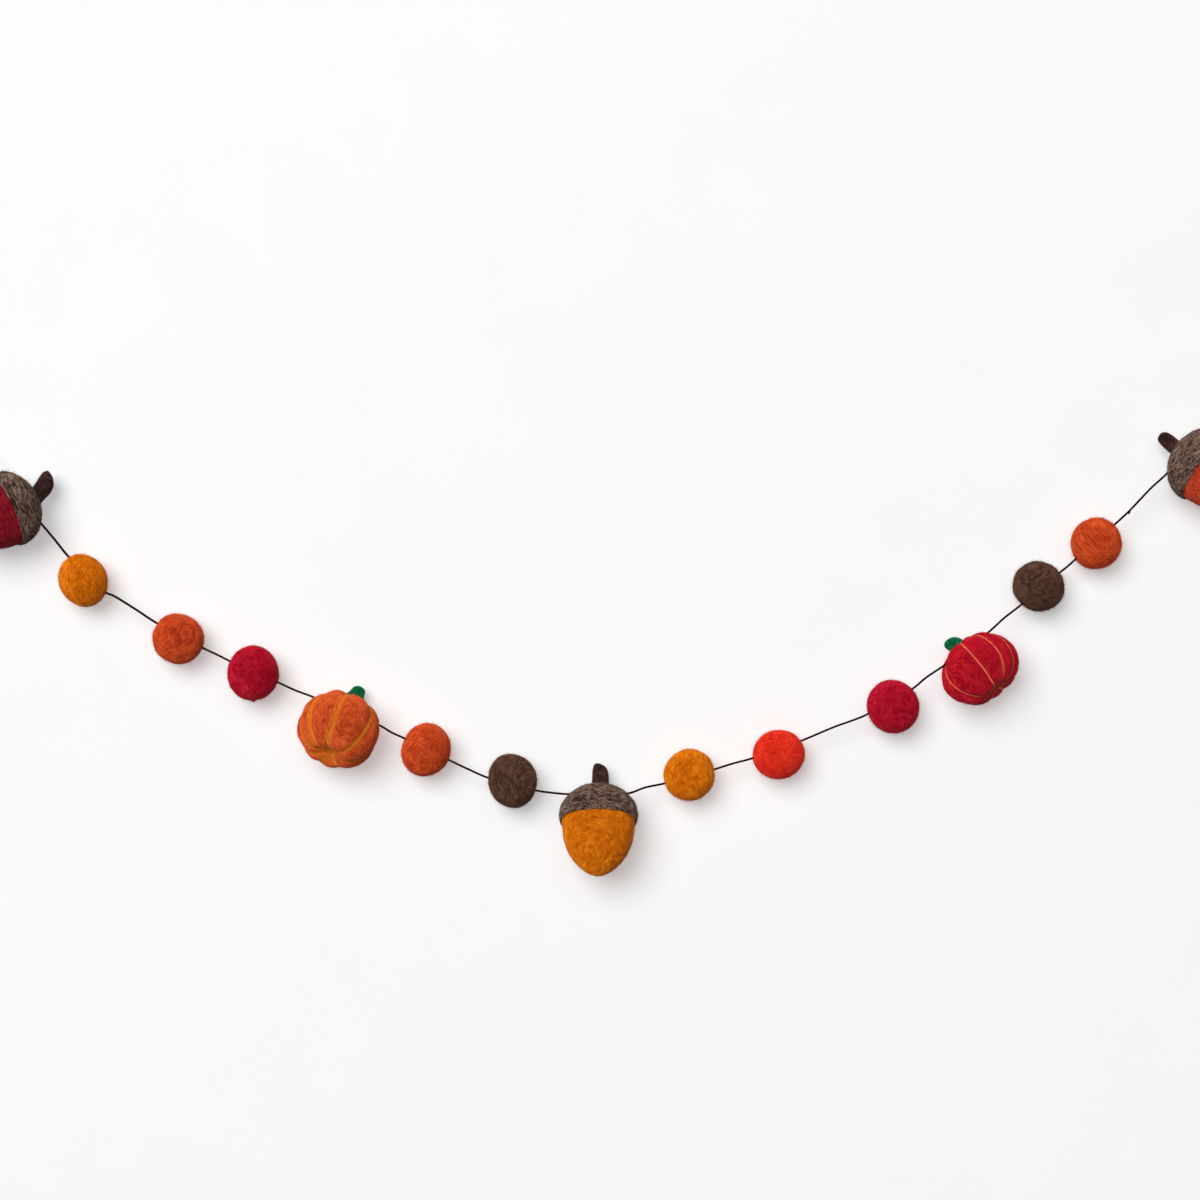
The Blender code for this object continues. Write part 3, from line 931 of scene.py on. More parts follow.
@dataclass
class HangingLoop:
    """The loop at one end of the thread, tied with a wound knot."""

    side: str
    thread_end: Vector

    KNOT_SIDES = 24
    KNOT_CORE_INSET = 0.55
    KNOT_TURNS = 3.0
    COIL_STEPS = 90
    COIL_THINNING = 0.95
    COIL_RADIUS = 1.25
    COIL_SWELL = 0.12
    COIL_FOOT = 0.7
    COIL_RISE = 2.9
    COIL_TILT = 0.25
    COIL_PHASE = 0.8
    TAIL_STEPS = 12
    TAIL_STEP = 0.42
    TAIL_SLOWING = 0.5
    TAIL_DROP = 0.7

    def build(self) -> list[bpy.types.Object]:
        """Make the loop and its knot."""
        hook = HOOKS[self.side]
        out = (self.thread_end - hook).normalized()
        across = out.cross(ROOM)
        apex = hook - out * THREAD_RADIUS
        other_half = [(along, -aside) for along, aside in LOOP_HALF_OUTLINE[::-1]]
        outline = [*LOOP_HALF_OUTLINE, (0.0, 0.0), *other_half]
        points = [apex + out * along + across * aside for along, aside in outline]
        way = smooth_way(points[0] + out, points, points[-1] + out, FINE_STEP)
        loop = Strand(f"{self.side}_loop_twisted", way).build()
        settle_thread(loop, f"{self.side}_loop")
        knot_start = apex + out * (LOOP_HALF_OUTLINE[0][0] + PIECE_GAP)
        knot = self._knot(facing_frame(knot_start, out))
        settle_thread(knot, f"{self.side}_knot")
        return [loop, knot]

    def _knot(self, frame: Matrix) -> bpy.types.Object:
        """Wind three turns of thread about a core, with a short tail of cut thread."""
        profile = [(0.0, 0.0), *[(r - self.KNOT_CORE_INSET, h) for r, h in KNOT_OUTLINE],
                   (KNOT_NECK_RADIUS, KNOT_LENGTH), (0.0, KNOT_LENGTH)]
        core = turned_piece(f"{self.side}_knot_wound", profile, self.KNOT_SIDES)
        core.data.transform(frame)
        coil = []
        for number in range(self.COIL_STEPS + 1):
            share = number / self.COIL_STEPS
            angle = math.tau * self.KNOT_TURNS * share
            radius = self.COIL_RADIUS + self.COIL_SWELL * math.sin(angle * 0.5)
            height = self.COIL_FOOT + self.COIL_RISE * share
            height += self.COIL_TILT * math.sin(angle + self.COIL_PHASE)
            coil.append(frame @ Vector((radius * math.cos(angle), radius * math.sin(angle), height)))
        run = (coil[-1] - coil[-2]).normalized()
        drop = Vector((0.0, 0.0, -self.TAIL_DROP))
        for number in range(1, self.TAIL_STEPS + 1):
            share = number / self.TAIL_STEPS
            way = run * (1.0 - self.TAIL_SLOWING * share) + drop * share
            coil.append(coil[-1] + way * self.TAIL_STEP)
        wound = Strand(f"{self.side}_knot_coil", coil, THREAD_RADIUS * self.COIL_THINNING).build()
        deselect_all()
        wound.select_set(True)
        core.select_set(True)
        bpy.context.view_layer.objects.active = core
        bpy.ops.object.join()
        return core


@dataclass
class Ball:
    """A hand-rolled felt ball: x, z, its long and short width, and the long one's turn."""

    name: str
    felt: Felt
    x: float
    z: float
    long: float
    short: float
    turn: float
    seed: int = 0
    nub: Optional[Point] = None

    SEGMENTS = 104
    RINGS = 64
    PITS = (2.6, 0.36)
    FUZZ = Standing(3000, (0.5, 2.8), 0.034, (0.3, 0.9))
    STRANDS = Lying(200, (2.5, 7.0), (0.04, 0.09), (0.05, 0.95))
    NUB_WIDTH = 1.1

    def build(self, passage: Passage) -> None:
        """Make the ball, and the fibres on it."""
        finish = self.felt.value
        depth = (self.long + self.short) / 2.0
        half = Vector((self.long, depth, self.short)) / 2.0
        turn = Matrix.Rotation(-math.radians(self.turn), 4, "Y")
        centre = Vector((self.x, WALL_Y - half.y, self.z))
        place = Matrix.Translation(centre) @ turn
        ball = sphere_piece(f"{self.name}_felt", self.SEGMENTS, self.RINGS)
        reshape(ball, lambda point: place @ (point.normalized() * half * lump(point.normalized(), self.seed)))
        if self.nub:
            reshape(ball, functools.partial(self._nubbed, centre))
        pucker(ball, centre, passage)
        pit(ball, self.PITS)
        surface = FeltSurface(ball)
        dice = random.Random(self.seed)
        fuzz = Fibres(f"{self.name}_fuzz")
        fuzz.stand(surface, dice, self.FUZZ)
        fuzz.lie(surface, dice, self.STRANDS)
        settle_felt(ball, finish, self.seed, self.name)
        fuzz.made(finish)

    def _nubbed(self, centre: Vector, place: Vector) -> Vector:
        """Draw the felt out into a small nub."""
        out = (place - centre).normalized()
        near = math.exp(-(((place - Vector(self.nub)).length / self.NUB_WIDTH) ** 2))
        return place + out * near


@dataclass
class Stem:
    """A short felt stem or stalk: its radii, height, lean, and the slope and shift of its top."""

    root_radius: float
    tip_radius: float
    height: float
    lean: float
    slope: float = 0.0
    shift: float = 0.0

    SIDES = 40
    OUTLINE_STEP = 0.7
    LUMP_SPAN = 0.4 * TURNED_LUMP_SPAN
    PITS = (1.6, 0.4)
    SEED_STEP = 500
    FUZZ = Standing(420, (0.4, 1.9), 0.035, (0.1, 0.9))
    STRANDS = Lying(110, (3.0, 8.0), (0.06, 0.13), (0.0, 0.9), stray=0.2)

    def build(self, node: str, finish: Wool, root: Matrix, sink: float, seed: int) -> None:
        """Make the stem on its root frame, with its fibres.

        Args:
            node: the CAD's node that it stands for.
            finish: its wool.
            root: the frame that it grows from.
            sink: how much of its foot is inside the cap or the pumpkin.
            seed: where chance starts.
        """
        name = f"{node}_felt"
        lean = math.tan(math.radians(self.lean))
        widening = self.tip_radius - self.root_radius
        bottom = [(0.0, 0.0), (self.root_radius, 0.0)]
        knots = [((self.root_radius + widening * w) * n, self.height * r) for r, w, n in STEM_OUTLINE]
        top = (0.0, self.height + PIECE_GAP)
        outline = [bottom[0], *self._refined([bottom[1], *knots, top])]
        stem = turned_piece(name, outline, self.SIDES)

        def leaned(place: Vector) -> Vector:
            rise = max(0.0, place.z - sink)
            share = rise / (self.height - sink)
            factor = lump(place / self.LUMP_SPAN, seed)
            y = place.y * factor
            z = place.z - math.tan(math.radians(self.slope)) * y * share
            return Vector((place.x * factor, y + lean * rise, z))

        reshape(stem, leaned)
        stem.data.transform(root @ Matrix.Translation((0.0, self.shift, 0.0)))
        pit(stem, self.PITS)
        surface = FeltSurface(stem)
        dice = random.Random(seed + self.SEED_STEP)
        up = (root.to_3x3() @ Vector((0.0, lean, 1.0))).normalized()
        fuzz = Fibres(f"{name}_fuzz")
        fuzz.stand(surface, dice, self.FUZZ)
        fuzz.lie(surface, dice, self.STRANDS, lambda _place, _normal: up)
        settle_felt(stem, finish, seed, node)
        fuzz.made(finish)

    def _refined(self, outline: Profile) -> Profile:
        """Add points between those of an outline, on a smooth curve."""
        points = [Vector((radius, height, 0.0)) for radius, height in outline]
        before = points[0] * 2 - points[1]
        beyond = Vector((-points[-2].x, points[-2].y, 0.0))
        way = smooth_way(before, points, beyond, self.OUTLINE_STEP)
        return [(max(0.0, point.x), point.y) for point in way]


@dataclass
class Pumpkin:
    """A ribbed felt pumpkin with needled seams and a stalk."""

    name: str
    felt: RibbedWool
    roving: Wool
    centre: Point
    radius: float
    shoulder: float
    dimple: float
    axis: Point
    seams: tuple[float, ...]
    stalk: Stem
    seed: int
    seam_width: float
    seam_spread: float

    SEGMENTS = 160
    RINGS = 80
    PITS = ((2.6, 0.5), (1.0, 0.16))
    FUZZ = Standing(4200, (0.5, 2.6), 0.034, (0.3, 0.9))
    STRANDS = Lying(450, (2.5, 7.5), (0.05, 0.1), (0.05, 0.9))
    SEAM_STRANDS = 21
    SEAM_LOOSE = 3
    SEAM_STEPS = 26
    SEAM_GATHER = 0.45
    SEAM_START = 5.0
    SEAM_STARTS = (4.0, 30.0)
    SEAM_END = 172.0
    SEAM_ENDS = (120.0, 172.0)
    SEAM_PHASES = (0.0, 50.0)
    SEAM_SWAY = 0.3
    SEAM_WANDER = 0.9
    SEAM_LIFT = 0.05
    SEAM_SINK = 0.15
    SEAM_PILE = 0.12
    SEAM_FLAT = 0.6
    BLOSSOM_STRANDS = 70
    BLOSSOM_WIDTH = 2.2
    BLOSSOM_STEPS = 5

    def groove(self, longitude: float, width: float) -> float:
        """Give how deep in a seam's groove a longitude lies, from 0 to 1."""
        turns = [(longitude - math.radians(seam) + math.pi) % math.tau - math.pi for seam in self.seams]
        return max(math.exp(-((turn / width) ** 2)) for turn in turns)

    def point(self, direction: Vector) -> Vector:
        """Give the point of the ribbed and dimpled pumpkin that lies in one direction."""
        side = math.hypot(direction.x, direction.y)
        longitude = math.atan2(direction.y, direction.x)
        full = min(1.0, side / GROOVE_FULL_FROM)
        drawn_in = GROOVE_DEPTH * self.groove(longitude, GROOVE_WIDTH) * full
        half = Vector((self.radius, self.radius, self.shoulder))
        point = direction * half * lump(direction, self.seed) * (1.0 - drawn_in)
        point.z -= math.copysign(self.dimple * math.exp(-((side / DIMPLE_WIDTH) ** 2)), direction.z)
        return point

    def build(self, passage: Passage) -> None:
        """Make the body, its seams, its fuzz and its stalk."""
        frame = facing_frame(self.centre, self.axis)
        body = sphere_piece(f"{self.name}_felt", self.SEGMENTS, self.RINGS)
        marks = [self._seam_mark(vertex.co.normalized()) for vertex in body.data.vertices]
        mark = body.data.attributes.new(RibbedWool.SEAM_MARK, "FLOAT", "POINT")
        mark.data.foreach_set("value", marks)
        reshape(body, lambda place: frame @ self.point(place.normalized()))
        pucker(body, Vector(self.centre), passage)
        pit(body, *self.PITS)
        surface = FeltSurface(body)
        dice = random.Random(self.seed)
        fuzz = Fibres(f"{self.name}_fuzz")
        fuzz.stand(surface, dice, self.FUZZ)
        fuzz.lie(surface, dice, self.STRANDS)
        seams = self._seam_fibres(frame, surface, dice)
        settle_felt(body, self.felt, self.seed, f"{self.name}_body")
        fuzz.made(self.felt)
        seams.made(self.roving)
        crown = self.shoulder - self.dimple
        root = frame @ Matrix.Translation((0.0, 0.0, crown - STALK_SINK))
        self.stalk.build(f"{self.name}_stalk", Felt.STALK_GREEN.value, root, STALK_SINK, self.seed)

    def _seam_mark(self, direction: Vector) -> float:
        """Give how much of the seam's wool shows in one direction."""
        side = max(0.15, math.hypot(direction.x, direction.y))
        width = self.seam_width / (self.radius * side)
        mark = self.groove(math.atan2(direction.y, direction.x), width)
        end = math.exp(-((side / 0.2) ** 2)) if direction.z < 0.0 else 0.0
        return max(mark, end)

    def _seam_fibres(self, frame: Matrix, surface: FeltSurface, dice: random.Random) -> Fibres:
        """Lay the roving of each seam from the blossom end up to the stalk, and round the blossom end."""
        seams = Fibres(f"{self.name}_seams")
        thickest = 0.1 + 0.07 * self.seam_width
        for seam in self.seams:
            bend = dice.uniform(*self.SEAM_PHASES)
            for strand in range(self.SEAM_STRANDS):
                spread = dice.gauss(0.0, self.SEAM_GATHER) * self.seam_width
                if strand >= self.SEAM_STRANDS - self.SEAM_LOOSE:
                    spread = dice.gauss(0.0, self.seam_spread)
                first = dice.uniform(*self.SEAM_STARTS) if strand % 3 else self.SEAM_START
                last = dice.uniform(*self.SEAM_ENDS) if strand % 4 else self.SEAM_END
                phase = dice.uniform(*self.SEAM_PHASES)
                line = []
                for number in range(self.SEAM_STEPS + 1):
                    share = number / self.SEAM_STEPS
                    sway = self.SEAM_SWAY * self.seam_width * noise.noise(Vector((phase, share * 6.0, 0.0)))
                    sway += self.SEAM_WANDER * noise.noise(Vector((bend, share * 4.0, 0.0)))
                    direction = self._seam_direction(seam, first + (last - first) * share, spread + sway)
                    place, normal = surface.nearest(frame @ self.point(direction))
                    sunk = -self.SEAM_SINK if number in (0, self.SEAM_STEPS) else 0.0
                    pile = self.SEAM_PILE * abs(dice.gauss(0.0, 0.3))
                    line.append(place + normal * (self.SEAM_LIFT + sunk + pile))
                radius = dice.uniform(0.5, 1.0) * thickest
                seams.add(line, normal, radius, dice.uniform(0.15, 1.0), self.SEAM_FLAT)
        blossom = frame @ self.point(Vector((0.0, 0.0, -1.0)))
        for _ in range(self.BLOSSOM_STRANDS):
            place, normal = surface.nearest(blossom + scatter(dice, self.BLOSSOM_WIDTH))
            run = normal.cross(scatter(dice)).normalized()
            line = []
            for number in range(self.BLOSSOM_STEPS):
                line.append(place + normal * (0.12 - 0.2 * (number in (0, self.BLOSSOM_STEPS - 1))))
                place, normal = surface.nearest(place + run * dice.uniform(0.7, 1.1))
            seams.add(line, normal, dice.uniform(0.09, 0.16), dice.uniform(0.2, 1.0), self.SEAM_FLAT)
        return seams

    def _seam_direction(self, seam: float, polar: float, aside: float) -> Vector:
        """Give the direction of a seam's point, by degrees up from the blossom end and mm aside."""
        longitude = math.radians(seam)
        rise = math.radians(polar)
        base = Vector((math.sin(rise) * math.cos(longitude), math.sin(rise) * math.sin(longitude),
                       -math.cos(rise)))
        across = Vector((-math.sin(longitude), math.cos(longitude), 0.0))
        return (base + across * (aside / self.radius)).normalized()


@dataclass
class Acorn:
    """A felt acorn: its nut, its marled cap and the cap's stem."""

    name: str
    felt: Felt
    x: float
    z: float
    heading: float
    tip_out: float
    cap_radius: float
    cap_height: float
    nut_radius: float
    nut_length: float
    stem: Stem
    seed: int

    SIDES = 120
    RINGS = 22
    NUT_PITS = ((2.8, 0.4), (1.0, 0.14))
    NUT_FUZZ = Standing(2800, (0.5, 3.0), 0.034, (0.3, 0.9))
    NUT_STRANDS = Lying(420, (3.0, 8.0), (0.05, 0.1), (0.05, 0.95))
    CAP_PITS = (2.4, 0.5)
    CAP_FUZZ = Standing(1400, (0.6, 3.4), 0.036, (0.1, 0.9))
    CAP_STRANDS = (
        Lying(520, (4.0, 12.0), (0.07, 0.16), (0.0, 0.85), lift=0.1, stray=0.25, step=1.6, flat=0.6),
        Lying(150, (3.0, 9.0), (0.06, 0.13), (0.75, 1.0), lift=0.16, stray=0.5, step=1.4, flat=0.6),
    )
    CAP_DRIFT_FINENESS = 0.09

    def _frame(self) -> Matrix:
        """Give the acorn's frame at its cap's rim, whose Z runs out through the stem."""
        heading = math.radians(self.heading)
        tip_out = math.radians(self.tip_out)
        axis = Vector((math.cos(tip_out) * math.cos(heading), math.sin(tip_out),
                       math.cos(tip_out) * math.sin(heading)))
        return facing_frame(Vector((self.x, WALL_Y - self.cap_radius, self.z)), axis)

    def _quarter(self, radius: float, height: float, base: float) -> Profile:
        """Give a quarter ellipse from the axis at the top down to its full radius."""
        angles = [math.pi / 2 * step / self.RINGS for step in range(self.RINGS + 1)]
        return [(radius * math.sin(angle), base + height * math.cos(angle)) for angle in angles]

    def cap_outline(self) -> Profile:
        """Give a cap's outline: the outside from crown to rolled lip, then the inside back up."""
        inner = self.nut_radius + PIECE_GAP
        outside = self._quarter(self.cap_radius, self.cap_height - CAP_BULGE_HEIGHT, CAP_BULGE_HEIGHT)
        rim = self.cap_radius - CAP_RIM_INSET
        middle = (self.cap_radius + inner) / 2.0
        hem = [(rim + 0.05, 1.3), (rim, CAP_RIM_HEIGHT), (rim - 0.25, 0.0), (middle + 0.15, -0.6),
               (middle, -CAP_LIP_DROP), (middle - 0.2, -0.7), (inner, -CAP_INNER_DROP)]
        hollow = self.cap_height - CAP_CROWN_WALL - CAP_RIM_HEIGHT
        return outside + hem + self._quarter(inner, hollow, CAP_RIM_HEIGHT)[::-1]

    def nut_outline(self) -> Profile:
        """Give a nut's outline: its dome inside the cap, its flank and its blunt tip."""
        dome_height = self.cap_height - CAP_CROWN_WALL - CAP_RIM_HEIGHT - PIECE_GAP
        dome = self._quarter(self.nut_radius, dome_height, CAP_RIM_HEIGHT)
        count = 2 * self.RINGS
        shares = [1.0 - (1.0 - step / count) ** NUT_TIP_CROWDING for step in range(count)]
        flank = [(self.nut_radius * (1.0 - share**NUT_FLANK_POWER) ** (1.0 / NUT_TIP_POWER),
                  -self.nut_length * share) for share in shares]
        return dome + flank[1:] + [(0.0, -self.nut_length)]

    def _roughened(self, place: Vector) -> Vector:
        """Make a turned piece as uneven as hand-felted wool."""
        factor = lump(place / TURNED_LUMP_SPAN, self.seed)
        return Vector((place.x * factor, place.y * factor, place.z))

    def build(self, passage: Passage) -> None:
        """Make the nut, the cap over it, and the stem."""
        frame = self._frame()
        dice = random.Random(self.seed)
        self._build_nut(frame, dice)
        self._build_cap(frame, dice, passage)
        root = frame @ Matrix.Translation((0.0, 0.0, self.cap_height - STEM_SINK))
        self.stem.build(f"{self.name}_stem", Felt.STEM_PLUM.value, root, STEM_SINK, self.seed)

    def _build_nut(self, frame: Matrix, dice: random.Random) -> None:
        """Make the nut with its fibres."""
        finish = self.felt.value
        nut = turned_piece(f"{self.name}_nut_felt", self.nut_outline(), self.SIDES)
        reshape(nut, self._roughened)
        nut.data.transform(frame)
        pit(nut, *self.NUT_PITS)
        surface = FeltSurface(nut)
        fuzz = Fibres(f"{self.name}_nut_fuzz")
        fuzz.stand(surface, dice, self.NUT_FUZZ)
        fuzz.lie(surface, dice, self.NUT_STRANDS)
        settle_felt(nut, finish, self.seed, f"{self.name}_nut")
        fuzz.made(finish)

    def _build_cap(self, frame: Matrix, dice: random.Random, passage: Passage) -> None:
        """Make the cap with the coarse marled wool that is wound round it."""
        finish = Felt.CAP_MARL.value
        cap = turned_piece(f"{self.name}_cap_felt", self.cap_outline(), self.SIDES)
        reshape(cap, self._roughened)
        cap.data.transform(frame)
        centre = frame @ Vector((0.0, 0.0, 0.35 * self.cap_height))
        pucker(cap, centre, passage)
        pit(cap, self.CAP_PITS)
        outside = FeltSurface(cap, lambda face: face.normal.dot(face.center - centre) > 0.0)
        up = frame.to_3x3() @ Vector((0.0, 0.0, 1.0))

        def around(place: Vector, normal: Vector) -> Vector:
            band = normal.cross(up).normalized()
            drift = noise.noise(place * self.CAP_DRIFT_FINENESS + LUMP_SEED_STEP * self.seed)
            return band + normal.cross(band) * (0.1 + 0.8 * drift)

        strands = Fibres(f"{self.name}_cap_strands")
        for kind in self.CAP_STRANDS:
            strands.lie(outside, dice, kind, around)
        strands.stand(outside, dice, self.CAP_FUZZ)
        settle_felt(cap, finish, self.seed, f"{self.name}_cap", tuple(up))
        strands.made(finish)


@dataclass(frozen=True)
class Lamp:
    """A large soft lamp: where it stands from the garland, how far off, its width and share of light."""

    name: str
    away: Point
    distance: float
    width: float
    share: float

    def hang(self, middle: Vector) -> None:
        """Put the lamp up and turn it to the garland's middle."""
        away = Vector(self.away).normalized()
        lamp = bpy.data.lights.new(self.name, "AREA")
        lamp.shape = "DISK"
        lamp.size = self.width
        reach = math.sin(math.atan(0.5 * self.width / self.distance)) ** 2 * abs(away.y)
        area = math.pi * (0.5 * self.width) ** 2
        lamp.energy = self.share / reach * area * math.pi
        hung = bpy.data.objects.new(self.name, lamp)
        hung.location = middle + away * self.distance
        hung.rotation_euler = away.to_track_quat("Z", "Y").to_euler()
        hung.visible_camera = False
        bpy.context.collection.objects.link(hung)


@dataclass
class Studio:
    """The pale glowing wall and floor, the soft lamps, and the camera."""

    wall_gap: float = 1.0
    floor_z: float = -1.1
    middle: Point = (0.345, 0.0, -0.11)
    camera_y: float = -1.672
    glow: float = 0.93
    wall_glow: float = 0.405
    floor_glow: float = 0.8
    lamps: tuple[Lamp, ...] = (
        Lamp("soft_key", (-0.345, -1.0, 0.345), 6.0, 4.1, 0.78),
        Lamp("front_fill", (0.09, -1.0, 0.24), 6.0, 5.1, 0.17),
        Lamp("back_fill", (0.3, 1.0, 0.3), 3.0, 2.0, 0.35),
    )

    def camera(self) -> None:
        """Put the camera where the photograph was taken from."""
        lens = bpy.data.cameras.new("camera")
        lens.lens = 100.0
        lens.sensor_width = 36.0
        lens.clip_start = 0.05
        lens.clip_end = 50.0
        camera = bpy.data.objects.new("camera", lens)
        camera.location = (self.middle[0], self.camera_y, self.middle[2])
        camera.rotation_euler = (math.pi / 2, 0.0, 0.0)
        bpy.context.collection.objects.link(camera)
        bpy.context.scene.camera = camera

    def light(self) -> None:
        """Hang the lamps in a pale room."""
        bpy.context.scene.view_settings.view_transform = "Standard"
        world = bpy.data.worlds.new("pale_room")
        world.use_nodes = True
        background = world.node_tree.nodes["Background"]
        background.inputs["Color"].default_value = (1.0, 0.995, 0.99, 1.0)
        background.inputs["Strength"].default_value = self.glow
        world.cycles_visibility.diffuse = False
        bpy.context.scene.world = world
        for lamp in self.lamps:
            lamp.hang(Vector(self.middle))

    def backdrop(self) -> None:
        """Make the wall, which only shows from the room's side, and the floor."""
        size = 8.0
        place = (self.middle[0], (WALL_Y + self.wall_gap) * MM, self.floor_z + size / 2.0)
        wall = self._plane("wall", size, place, (math.pi / 2, 0.0, 0.0))
        wall.data.materials.append(self._paint("wall_paint", self.wall_glow, one_sided=True))
        wall.visible_shadow = False
        floor = self._plane("floor", 14.0, (self.middle[0], 0.0, self.floor_z), (0.0, 0.0, 0.0))
        floor.data.materials.append(self._paint("floor_paint", self.floor_glow, one_sided=False))
        floor.visible_diffuse = False

    def _plane(self, name: str, size: float, place: Point, turn: Point) -> bpy.types.Object:
        """Add a flat ground of this size."""
        deselect_all()
        bpy.ops.mesh.primitive_plane_add(size=size, location=place, rotation=turn)
        plane = bpy.context.active_object
        plane.name = name
        bpy.ops.object.transform_apply(location=True, rotation=True, scale=True)
        return plane

    def _paint(self, name: str, glow: float, one_sided: bool) -> bpy.types.Material:
        """Make matt pale paint that glows a little, and can be clear from behind."""
        graph = Graph(name)
        speckle = Wire(graph, graph.cloud(graph.place_mm(), 0.02, 2.0).outputs[0])
        sockets = {0: speckle, 6: linear((198, 198, 198)), 7: linear((201, 201, 201))}
        colour = graph.node("ShaderNodeMix", {"data_type": "RGBA"}, sockets).outputs[2]
        graph.shaded({"Base Color": colour, "Roughness": 0.95, "Specular IOR Level": 0.0,
                      "Emission Color": (1.0, 1.0, 1.0, 1.0), "Emission Strength": glow})
        if one_sided:
            paint = graph.output.inputs["Surface"].links[0].from_socket
            clear = graph.node("ShaderNodeBsdfTransparent").outputs[0]
            behind = graph.node("ShaderNodeNewGeometry").outputs["Backfacing"]
            mixed = graph.node("ShaderNodeMixShader", None, {0: behind, 1: paint, 2: clear})
            graph.tree.links.new(mixed.outputs[0], graph.output.inputs["Surface"])
        return graph.material


BALLS = (
    Ball("ball_mustard_left", Felt.MUSTARD, 86.4, -100.2, 27.2, 23.6, 118.0, 1),
    Ball("ball_orange_left", Felt.ORANGE, 134.0, -129.4, 25.8, 24.8, 150.0, 2),
    Ball("ball_crimson_left", Felt.CRIMSON, 171.5, -146.6, 27.4, 26.0, 84.0, 3, (171.8, -6.0, -160.0)),
    Ball("ball_orange_middle", Felt.ORANGE, 257.9, -185.0, 26.8, 24.3, 72.0, 4),
    Ball("ball_brown_left", Felt.BROWN, 301.2, -200.5, 27.4, 24.3, 103.0, 5),
    Ball("ball_mustard_right", Felt.MUSTARD, 389.6, -197.5, 26.2, 25.2, 60.0, 6),
    Ball("ball_scarlet", Felt.SCARLET, 434.3, -187.3, 26.0, 24.8, 5.0, 7),
    Ball("ball_crimson_right", Felt.CRIMSON, 491.5, -163.2, 27.0, 26.2, 125.0, 8),
    Ball("ball_brown_right", Felt.BROWN, 564.3, -103.2, 26.0, 24.8, 150.0, 9),
    Ball("ball_orange_right", Felt.ORANGE, 593.2, -81.8, 26.0, 25.0, 72.0, 10),
)

PUMPKINS = (
    Pumpkin("pumpkin_orange", Felt.PUMPKIN_ORANGE.value, Felt.AMBER_ROVING.value,
            (214.8, -12.2, -174.5), 20.8, 19.2, 6.0, (0.29, 0.57, 0.76),
            (44.0, 95.0, 145.0, 195.0, 240.0, 275.0, 307.0, 352.0), Stem(6.8, 4.0, 15.4, 3.5, shift=0.9), 21,
            seam_width=1.4, seam_spread=1.4),
    Pumpkin("pumpkin_red", Felt.PUMPKIN_RED.value, Felt.PEACH_ROVING.value,
            (534.2, -11.6, -144.2), 20.2, 16.9, 4.2, (-0.57, 0.375, 0.73),
            (0.0, 37.0, 68.0, 112.0, 160.0, 208.0, 254.0, 300.0), Stem(3.8, 4.2, 10.5, -20.0), 22,
            seam_width=0.42, seam_spread=0.6),
)

ACORNS = (
    Acorn("acorn_left", Felt.NUT_CRIMSON, 49.4, -65.3, 25.4, 21.5, 19.0, 16.5, 17.7, 27.8,
          Stem(4.5, 5.2, 13.0, -28.5, shift=-0.6), 31),
    Acorn("acorn_centre", Felt.NUT_MUSTARD, 344.2, -219.6, 90.0, 24.0, 19.5, 18.3, 18.2, 29.4,
          Stem(4.3, 3.9, 12.8, 0.0, slope=24.0, shift=1.1), 32),
    Acorn("acorn_right", Felt.NUT_ORANGE, 647.1, -43.8, 139.6, 20.4, 19.5, 18.4, 18.2, 28.8,
          Stem(3.8, 3.5, 12.0, 0.5, shift=-1.5), 33),
)

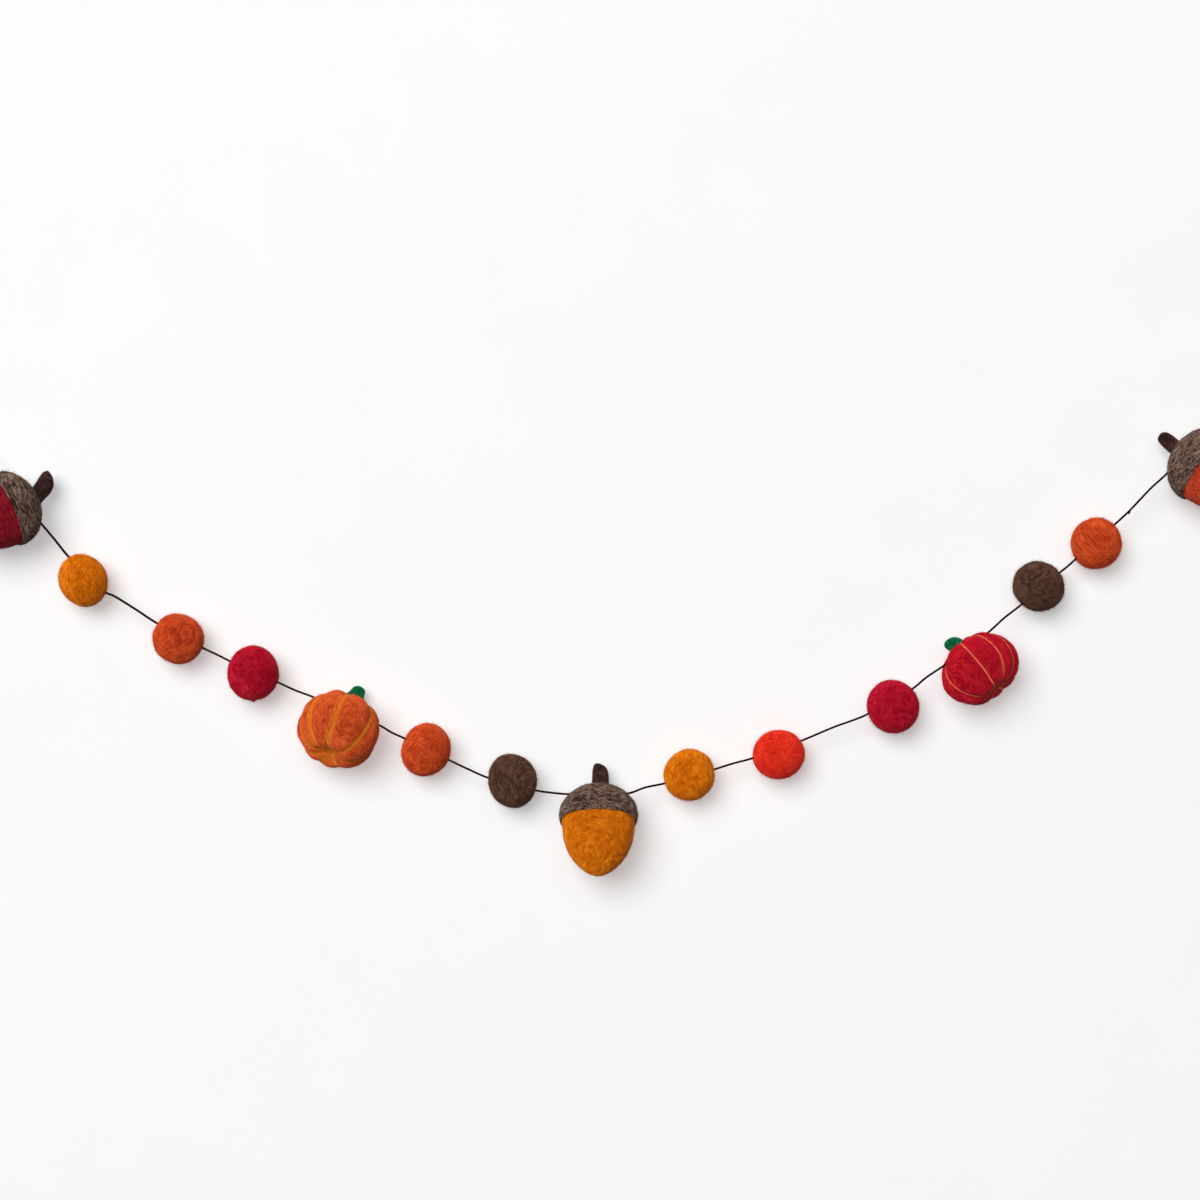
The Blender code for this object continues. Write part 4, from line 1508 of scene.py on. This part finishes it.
THREAD = Thread(
    start=((11.6, -0.9, -12.7), (27.4, -5.0, -29.2)),
    passages=(
        Passage("acorn_left", (44.3, -9.0, -46.9), (66.1, -9.0, -71.8), ((72.2, -6.6, -79.4),)),
        Passage("ball_mustard_left", (79.4, -5.0, -88.5), (97.4, -5.0, -106.0),
                ((101.6, -5.0, -107.8), (112.0, -4.8, -114.2))),
        Passage("ball_orange_left", (123.4, -4.8, -121.6), (146.0, -4.8, -133.8), ((153.6, -5.0, -137.4),)),
        Passage("ball_crimson_left", (159.8, -5.2, -140.5), (184.2, -6.4, -151.2), ((192.8, -8.8, -155.0),)),
        Passage("pumpkin_orange", (201.2, -11.2, -158.0), (235.0, -11.2, -172.4), ((241.2, -8.6, -176.2),)),
        Passage("ball_orange_middle", (247.4, -6.2, -179.2), (268.8, -5.0, -189.7), ((279.5, -4.8, -194.8),)),
        Passage("ball_brown_left", (289.1, -5.0, -198.9), (312.9, -5.4, -205.2), ((320.4, -7.2, -206.2),)),
        Passage("acorn_centre", (329.0, -9.4, -206.8), (358.4, -9.4, -206.5), ((367.8, -7.0, -203.6),)),
        Passage("ball_mustard_right", (377.8, -5.0, -201.6), (401.8, -5.0, -194.8), ((411.4, -4.8, -191.8),)),
        Passage("ball_scarlet", (421.4, -4.8, -189.1), (445.4, -4.8, -180.5), ((461.4, -4.8, -173.8),)),
        Passage("ball_crimson_right", (478.4, -5.2, -167.3), (500.6, -6.8, -154.7), ((507.8, -9.4, -148.6),)),
        Passage("pumpkin_red", (515.9, -12.8, -142.8), (537.8, -12.8, -126.5), ((546.6, -9.2, -119.0),)),
        Passage("ball_brown_right", (555.3, -6.4, -112.5), (574.0, -5.0, -97.0), ((578.6, -4.8, -93.4),)),
        Passage("ball_orange_right", (583.2, -4.8, -89.3), (601.0, -5.0, -73.5),
                ((609.6, -6.0, -65.4), (620.0, -8.2, -54.2))),
        Passage("acorn_right", (628.1, -9.4, -46.5), (646.7, -9.4, -24.3), ()),
    ),
    finish=((655.2, -5.0, -15.4), (660.2, -1.5, -11.3)),
    slub=(609.5, -6.0, -66.2),
)


def main() -> None:
    """Load the frame, build the garland over it, and set up the studio."""
    logging.basicConfig(level=logging.INFO, format="%(name)s: %(message)s")
    noise.seed_set(NOISE_SEED)
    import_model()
    studio = Studio()
    studio.camera()
    passages = {passage.piece: passage for passage in THREAD.passages}
    route = THREAD.way(THREAD_STEP)
    ends = HangingLoop("left", route[0]).build() + HangingLoop("right", route[-1]).build()
    THREAD.build(ends)
    for piece in (*BALLS, *PUMPKINS, *ACORNS):
        piece.build(passages[piece.name])
    studio.light()
    studio.backdrop()
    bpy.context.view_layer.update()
    shown = [piece for piece in bpy.data.objects if piece.type == "MESH" and not piece.hide_render]
    faces = sum(len(piece.data.loops) - 2 * len(piece.data.polygons) for piece in shown)
    LOG.info("triangles in all: %d", faces)


if __name__ == "__main__":
    main()
